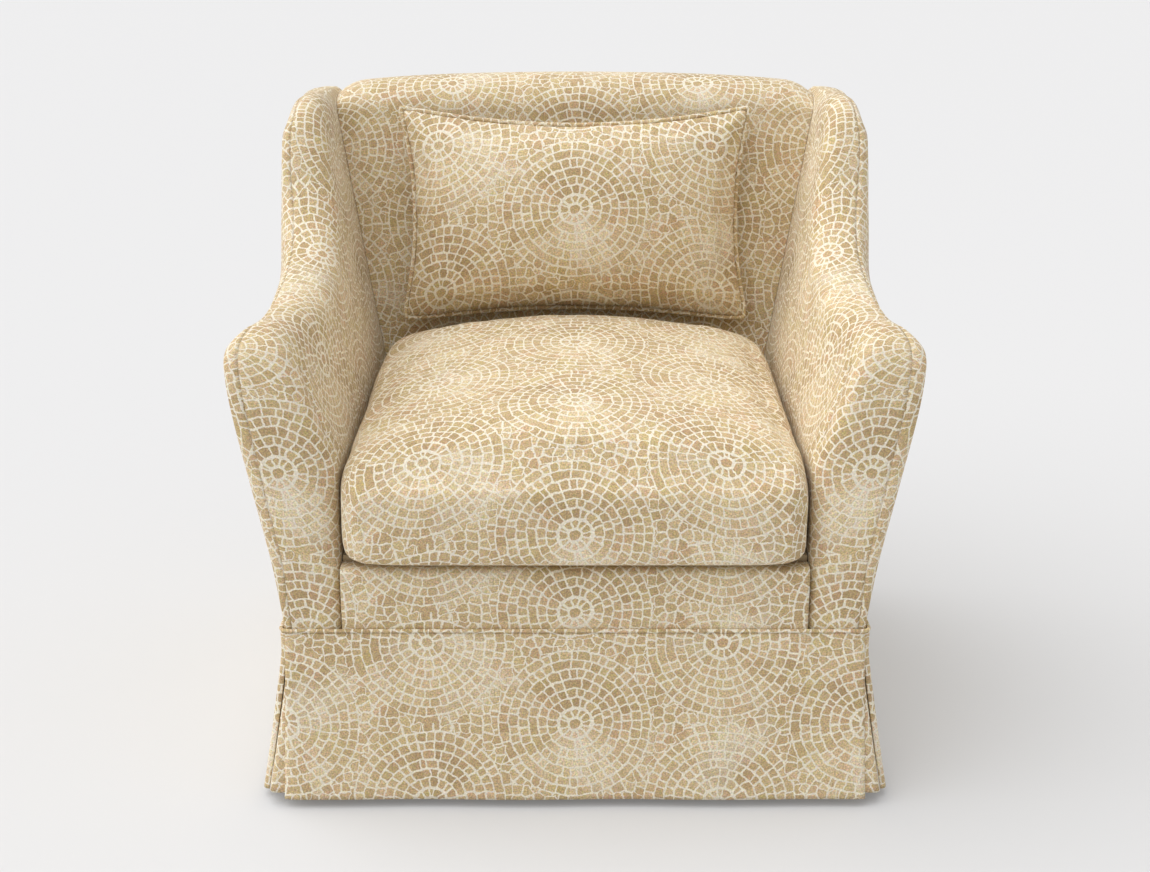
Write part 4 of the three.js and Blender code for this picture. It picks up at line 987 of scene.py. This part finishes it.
def seam_loop():
    """The skirt's seam in plan, with rounded corners, as points a few millimetres apart."""
    radius, corner = WELT_RADIUS, 10.0
    half_x = side_skirt_x(0) + radius - corner
    low, high = float(front_skirt_y(0)) - radius + corner, float(back_skirt_y(0)) + radius - corner
    height = seam_height + radius + 0.3
    loop = []
    corners = [(half_x, low), (half_x, high), (-half_x, high), (-half_x, low)]
    for index, (x, y) in enumerate(corners):
        for a in np.linspace(0, 1, 9):
            turn = (index - 1 + a) * math.pi / 2
            loop.append((float(x) + corner * math.cos(turn), y + corner * math.sin(turn), height))
    dense = []
    for index, point in enumerate(loop):
        after = loop[(index + 1) % len(loop)]
        gap = math.dist(point, after)
        pieces = max(1, int(gap / 6))
        dense += [tuple(lerp(np.array(point), np.array(after), t / pieces)) for t in range(pieces)]
    return dense


welt = tube("skirt_seam_welt", seam_loop(), np.array([0, 0, 1.0]), WELT_RADIUS, upright=True)
place(welt, "frame", "skirt_welt")


# Seat cushion

CUSHION_PROUD, CUSHION_DEPTH, CUSHION_LOW = 22, 509, 316.3
CUSHION_EDGE, CUSHION_RISE, CUSHION_CROWN = 119, 51, 40
FRONT_ROLL, ROLL_REACH = 22, 48
CUSHION_PRINT = 361.2  # height of the medallions on its front
CUSHION_REST = 317.0  # height where it rests, a little clear of the deck
CUSHION_RINGS = [  # size in plan, height, and how much of the front roll is there
    (0.02, 0, 0), (0.3, 0, 0), (0.6, 0, 0), (0.85, 0, 0), (0.97, 0, 0), (0.985, 0.01, 0), (0.994, 0.03, 0),
    (0.999, 0.08, 0), (1, 0.2, 0), (1, 0.32, 0), (1, 0.45, 0.03), (1, 0.6, 0.1), (0.998, 0.72, 0.25),
    (0.992, 0.82, 0.45), (0.984, 0.89, 0.65), (0.972, 0.94, 0.82), (0.955, 0.975, 0.95), (0.93, 0.995, 1),
    (0.88, 1, 0.97), (0.82, 1, 0.9), (0.74, 1, 0.75), (0.64, 1, 0.55), (0.52, 1, 0.35), (0.38, 1, 0.15),
    (0.22, 1, 0.05), (0.02, 1, 0),
]


def crown_at(x, y, half_x, low, high):
    rise = 1 - (1 - clamp((y - low) / 120)) ** 2
    fall = 1 - (1 - clamp((high - y) / 45)) ** 2
    along = lerp(0.78, 1, clamp((y - low) / (high - low)))
    return CUSHION_CROWN * (1 - (x / half_x) ** 2) * rise * fall * along


def cushion_ends(inset=0.0):
    return front_y - CUSHION_PROUD + inset, front_y - CUSHION_PROUD + CUSHION_DEPTH - inset


def cushion_height(x, y, inset=0.0, height=1.0, rolled=1.0):
    """Height of a point of its side, and what the crown adds and the front roll takes away there."""
    low, high = cushion_ends(inset)
    half_x = inside_x(y, CUSHION_LOW) - 0.8 - inset
    edge = CUSHION_EDGE + CUSHION_RISE * (y - low) / (high - low) - 2 * inset
    crown = crown_at(x, y, half_x, low, high)
    roll = FRONT_ROLL * rolled * smooth((low + ROLL_REACH - y) / ROLL_REACH)
    return CUSHION_LOW + inset + height * edge, crown, roll


def cushion_shape(inset, sides=96):
    points = []
    low, high = cushion_ends(inset)
    half_y, middle = (high - low) / 2, (low + high) / 2
    rings = len(CUSHION_RINGS)
    for ring, (size, height, rolled) in enumerate(CUSHION_RINGS):
        for k in range(sides):
            turn = (k + 0.5) / sides * 2 * math.pi
            c, s = math.cos(turn), math.sin(turn)
            power = 9 if s > 0 else 18
            grow = size * (abs(c) ** power + abs(s) ** power) ** (-1 / power)
            y = middle + half_y * s * grow
            wide = float(inside_x(y, CUSHION_LOW) - 0.8 - inset)
            wide += 3.5 * float(clamp((front_y - 4 - y) / 8)) * float(clamp(height / 0.3))
            wide *= 1 - 0.03 * float(clamp(1 - height / 0.16)) ** 2
            x = wide * c * grow
            base, crown, roll = cushion_height(x, y, inset, height, rolled)
            points.append((x, y, float(base + (crown if ring * 2 > rings else 0) - roll)))
    faces = ring_faces(rings, sides)
    faces.append(list(range(sides))[::-1])
    faces.append(list(range((rings - 1) * sides, rings * sides)))
    return points, faces


def apply_modifiers(thing):
    graph = bpy.context.evaluated_depsgraph_get()
    made = bpy.data.meshes.new_from_object(thing.evaluated_get(graph))
    thing.modifiers.clear()
    old = thing.data
    thing.data = made
    bpy.data.meshes.remove(old)


def stuff(thing, voxel, pressure, cap, give, rest=0.0):
    """Meshes a closed piece evenly, inflates it and rounds it off. Nothing stays below its rest."""
    set_normals_out(thing)
    modifier = thing.modifiers.new("remesh", "REMESH")
    modifier.mode = "VOXEL"
    modifier.voxel_size = voxel * MM
    apply_modifiers(thing)
    puff(thing, pressure, cap, give)
    points = coordinates(thing)
    points[:, 2] = np.maximum(points[:, 2], rest)
    set_coordinates(thing, points)
    modifier = thing.modifiers.new("subdivision", "SUBSURF")
    modifier.levels = modifier.render_levels = 1
    apply_modifiers(thing)
    return coordinates(thing), vertex_vectors(thing, "normal")


def puff(thing, pressure, cap, give, frames=20):
    """Inflates it as cloth; no point moves further than the cap times the share that give names there."""
    before, out = coordinates(thing), vertex_vectors(thing, "normal")
    modifier = thing.modifiers.new("cloth", "CLOTH")
    settings = modifier.settings
    settings.quality = 6
    settings.mass = 0.25
    settings.tension_stiffness = 22
    settings.compression_stiffness = 18
    settings.shear_stiffness = 12
    settings.bending_stiffness = 1.2
    settings.use_pressure = True
    settings.uniform_pressure_force = pressure
    settings.effector_weights.gravity = 0
    modifier.collision_settings.use_collision = False
    modifier.point_cache.frame_start = 1
    modifier.point_cache.frame_end = frames
    for number in range(1, frames + 1):
        scene.frame_set(number)
    apply_modifiers(thing)
    scene.frame_set(1)
    move = coordinates(thing) - before
    # stuffing doesn't let the cover shrink, so only what goes outwards or along is kept
    move += out * np.maximum(0, -0.6 - (move * out).sum(1))[:, None]
    share = np.minimum(1, cap * give(before) / np.maximum(np.linalg.norm(move, axis=1), 1e-6))
    set_coordinates(thing, before + move * share[:, None])


def dress(thing, points, normals, cloth, waves, share):
    """Adds the print and soft dents; each wave has a scale, a seed and a height in millimetres."""
    depth = sum(ripple_noise(points, scale, seed) * height for scale, seed, height in waves)
    set_coordinates(thing, points + normals * (depth * share)[:, None])
    set_cloth(thing, cloth)
    smooth_faces(thing)


def ripple_noise(points, scale, seed):
    """Smooth noise at points given in millimetres, about -1 to 1."""
    return np.array([noise.noise(Vector(p) * scale + Vector((seed, seed * 2, 0))) for p in points])


def cushion_cloth(points, normals, block=20000):
    """The print runs down the front and over the top; at the sides it unfolds outwards."""
    low, high = cushion_ends()
    middle = (low + high) / 2
    profile = []
    for size, height, rolled in CUSHION_RINGS[4:]:
        y = middle - (high - low) / 2 * size
        base, crown, roll = cushion_height(0.0, y, 0.0, height, rolled)
        profile.append((y, float(base + (crown if height > 0.8 else 0) - roll)))
    for y in np.linspace(middle, high - 20, 20)[1:]:
        base, crown, _ = cushion_height(0.0, y)
        profile.append((y, float(base + crown)))
    profile = np.array(profile)
    at = np.linspace(0, len(profile) - 1, 700)
    dense = sample(at, np.arange(len(profile)), profile)
    run = run_along(dense)
    face = run[np.abs(dense[:200, 1] - CUSHION_PRINT).argmin()]
    x, y, z = points.T
    # lower at the sides than in the middle: measured from the middle's profile
    half_x = inside_x(y, CUSHION_LOW)
    lifted = z + crown_at(0, y, half_x, low, high) - crown_at(x, y, half_x, low, high)
    lifted = np.where(y - low < 40, z, lifted)
    beside = np.abs(normals[:, 0])
    ahead = 1 - smooth((y - low - 24) / 20)
    pulled = y - (y - low) * smooth((beside - 0.3) * 2) * ahead
    along = []
    for start in range(0, len(points), block):
        some = np.stack([pulled, lifted], 1)[start : start + block]
        along.append(run[((some[:, None] - dense[None]) ** 2).sum(2).argmin(1)])
    side = smooth((beside - 0.55) * 3) * (1 - ahead)
    v = lerp(np.concatenate(along), np.interp(y, dense[:, 0], run), side)
    under = clamp(cushion_height(x, y)[0] - z, 0, CUSHION_EDGE + CUSHION_RISE)
    u = x + np.sign(x) * lerp(under * smooth((beside - 0.25) * 2), (y - low) * 0.8 * beside**2, ahead)
    return np.stack([u, v - face + 12 * (x / 179) ** 2], 1)


def cushion_give(p):
    """How far the cover may move, as a share: little beside the arms and where it rests."""
    upper = smooth((p[:, 2] - 322) / 40)
    beside = smooth((np.abs(p[:, 0]) - 268) / 8) * smooth((p[:, 1] - front_y + 6) / 8)
    return lerp(0.2, 1.0, upper) * lerp(1.0, 0.22, beside)


def build_cushion():
    points, faces = cushion_shape(2.0)
    cushion = new_mesh("seat_cushion", points, faces)
    points, normals = stuff(cushion, 6.0, 7.0, 8.0, cushion_give, CUSHION_REST)
    cloth, share = cushion_cloth(points, normals), smooth((points[:, 2] - 325) / 30)
    dress(cushion, points, normals, cloth, [(0.011, 3.0, 2.2), (0.03, 9.0, 0.9)], share)
    return cushion


cushion = build_cushion()
place(cushion, "seat_cushion", "seat_cushion_cover", "seat_cushion_core")


# Lumbar pillow

PILLOW_W, PILLOW_H, DIP_X, DIP_Z = 249, 148, 21, 21
PILLOW_FRONT, PILLOW_REAR, PILLOW_LOW, PILLOW_GAP = 84, 20, 502, 1.5
LEAN = math.atan(inside_back_lean)
PILLOW_LIFT = PILLOW_LOW + PILLOW_H * math.cos(LEAN)  # height of its middle
PILLOW_Y = inside_back_face(PILLOW_LIFT) - BACK_CROWN - PILLOW_REAR / math.cos(LEAN) - PILLOW_GAP
PILLOW_WELT = 3.4


def pillow_plane(s, t, inset=0.0):
    """A place on the pillow's plan, s across and t up; the upper corners are drawn out a little."""
    ears = 5.0 * (t > 0)
    x = s * (PILLOW_W - inset - DIP_X * (1 - t * t) * np.abs(s))
    z = t * (PILLOW_H + ears - inset - (DIP_Z + ears) * (1 - s * s) * np.abs(t))
    corner = np.where(t > 0, 4.0, 9.0) * np.abs(s * t) ** 9
    return x - np.sign(s) * corner, z - np.sign(t) * corner


def lean_pillow(x, y, z):
    """From the upright pillow's own axes to its place against the leaning back."""
    c, s = math.cos(LEAN), math.sin(LEAN)
    return np.stack([x, PILLOW_Y + y * c + z * s, PILLOW_LIFT + z * c - y * s], -1)


def unlean(points):
    """The other way, from its place to its own axes."""
    c, s = math.cos(LEAN), math.sin(LEAN)
    dy, dz = points[:, 1] - PILLOW_Y, points[:, 2] - PILLOW_LIFT
    return np.stack([points[:, 0], dy * c - dz * s, dy * s + dz * c], 1)


def pillow_give(p):
    """How far the cover may move, as a share: little at its back and at the rim."""
    y = unlean(p)[:, 1]
    return np.where(y > 4, 0.15, lerp(0.15, 1.0, smooth((-y - 2) / 12)))


def build_pillow(columns=72, rows=48):
    s = np.sin(np.linspace(-1, 1, columns + 1) * math.pi / 2)[:, None]
    t = np.sin(np.linspace(-1, 1, rows + 1) * math.pi / 2)[None, :]
    # its rim reaches into the welt, further at the corners
    x, z = pillow_plane(s, t, -1.5 - 4.5 * np.abs(s * t) ** 8)
    swell = np.maximum(0, (1 - s * s) * (1 - t * t)) ** 0.56
    front = lean_pillow(x, -(PILLOW_FRONT - 5) * swell - 3.4, z)
    back = lean_pillow(x, (PILLOW_REAR - 4) * swell + 3.2, z)
    pillow = closed_sheet("lumbar_pillow", front, back, np.zeros((*front.shape[:2], 2)))
    points, normals = stuff(pillow, 5.0, 5.0, 7.0, pillow_give)
    x, y, z = unlean(points).T
    cloth = np.stack([x * 0.93, z - 8 + 13 * (x / 186) ** 2], 1)
    dress(pillow, points, normals, cloth, [(0.014, 21.0, 2.2), (0.04, 27.0, 0.8)], smooth(-y / 10))
    return pillow


def pillow_loop(out, count=(90, 60)):
    """The welt's middle line, round the pillow's plan."""
    wide, tall = (np.sin((np.arange(number) / number - 0.5) * math.pi) for number in count)
    s = np.concatenate([wide, tall * 0 + 1, -wide, tall * 0 - 1])
    t = np.concatenate([wide * 0 - 1, tall, wide * 0 + 1, -tall])
    x, z = pillow_plane(s, t, -out * (1 + 0.7 * np.abs(s * t) ** 8))
    return lean_pillow(x, 0, z)


def even_loop(path, step):
    closed = np.concatenate([path, path[:1]])
    length = run_along(closed)
    return sample(np.linspace(0, length[-1], int(length[-1] / step), endpoint=False), length, closed)


pillow = build_pillow()
place(pillow, "lumbar_pillow", "pillow_cover", "pillow_fill")
up = np.array([0, math.cos(LEAN), -math.sin(LEAN)])
pillow_welt = tube("lumbar_pillow_welt", even_loop(pillow_loop(4.1), 4.0), up, PILLOW_WELT)
place(pillow_welt, "lumbar_pillow", "pillow_welt")


# Floor, light and camera

def build_floor():
    floor = new_mesh(
        "floor",
        [(-60000, -30000, 0), (60000, -30000, 0), (60000, 90000, 0), (-60000, 90000, 0)],
        [[0, 1, 2, 3]],
    )
    material = bpy.data.materials.new("studio_floor")
    material.use_nodes = True
    shader = material.node_tree.nodes["Principled BSDF"]
    shader.inputs["Base Color"].default_value = (0.56, 0.56, 0.567, 1)
    shader.inputs["Roughness"].default_value = 0.95
    shader.inputs["Specular IOR Level"].default_value = 0.05
    shader.inputs["Emission Color"].default_value = (1, 1, 1, 1)
    shader.inputs["Emission Strength"].default_value = 0.15
    set_material(floor, material)


build_floor()


def sun(name, toward, strength, angle, color=(1, 1, 1)):
    data = bpy.data.lights.new(name, "SUN")
    data.energy = strength
    data.angle = math.radians(angle)
    data.color = color
    lamp = add_object(name, data)
    lamp.rotation_mode = "QUATERNION"
    lamp.rotation_quaternion = (-Vector(toward)).to_track_quat("-Z", "Y")


sun("key", (-0.7, -0.06, 1.0), 3.05, 90, (1.0, 0.995, 0.985))
sun("fill", (0.85, -0.12, 0.8), 0.6, 90)
world = bpy.data.worlds.new("studio")
world.use_nodes = True
background = world.node_tree.nodes["Background"]
background.inputs["Color"].default_value = (1, 1, 1, 1)
background.inputs["Strength"].default_value = 0.35
scene.world = world
scene.view_settings.view_transform = "Standard"

FOCAL, PHOTO_WIDTH = 1609, 1150  # of the camera fitted to the photograph, in its pixels
CAMERA_DISTANCE, CAMERA_HEIGHT, CAMERA_DOWN = 1.802, 1.041, 17.368  # metres before the arms; degrees
camera_data = bpy.data.cameras.new("camera")
camera_data.sensor_width = 36
camera_data.lens = FOCAL / PHOTO_WIDTH * camera_data.sensor_width
camera = add_object("camera", camera_data)
camera.location = (0, front_y * MM - CAMERA_DISTANCE, CAMERA_HEIGHT)
camera.rotation_euler = (math.radians(90 - CAMERA_DOWN), 0, 0)
scene.camera = camera
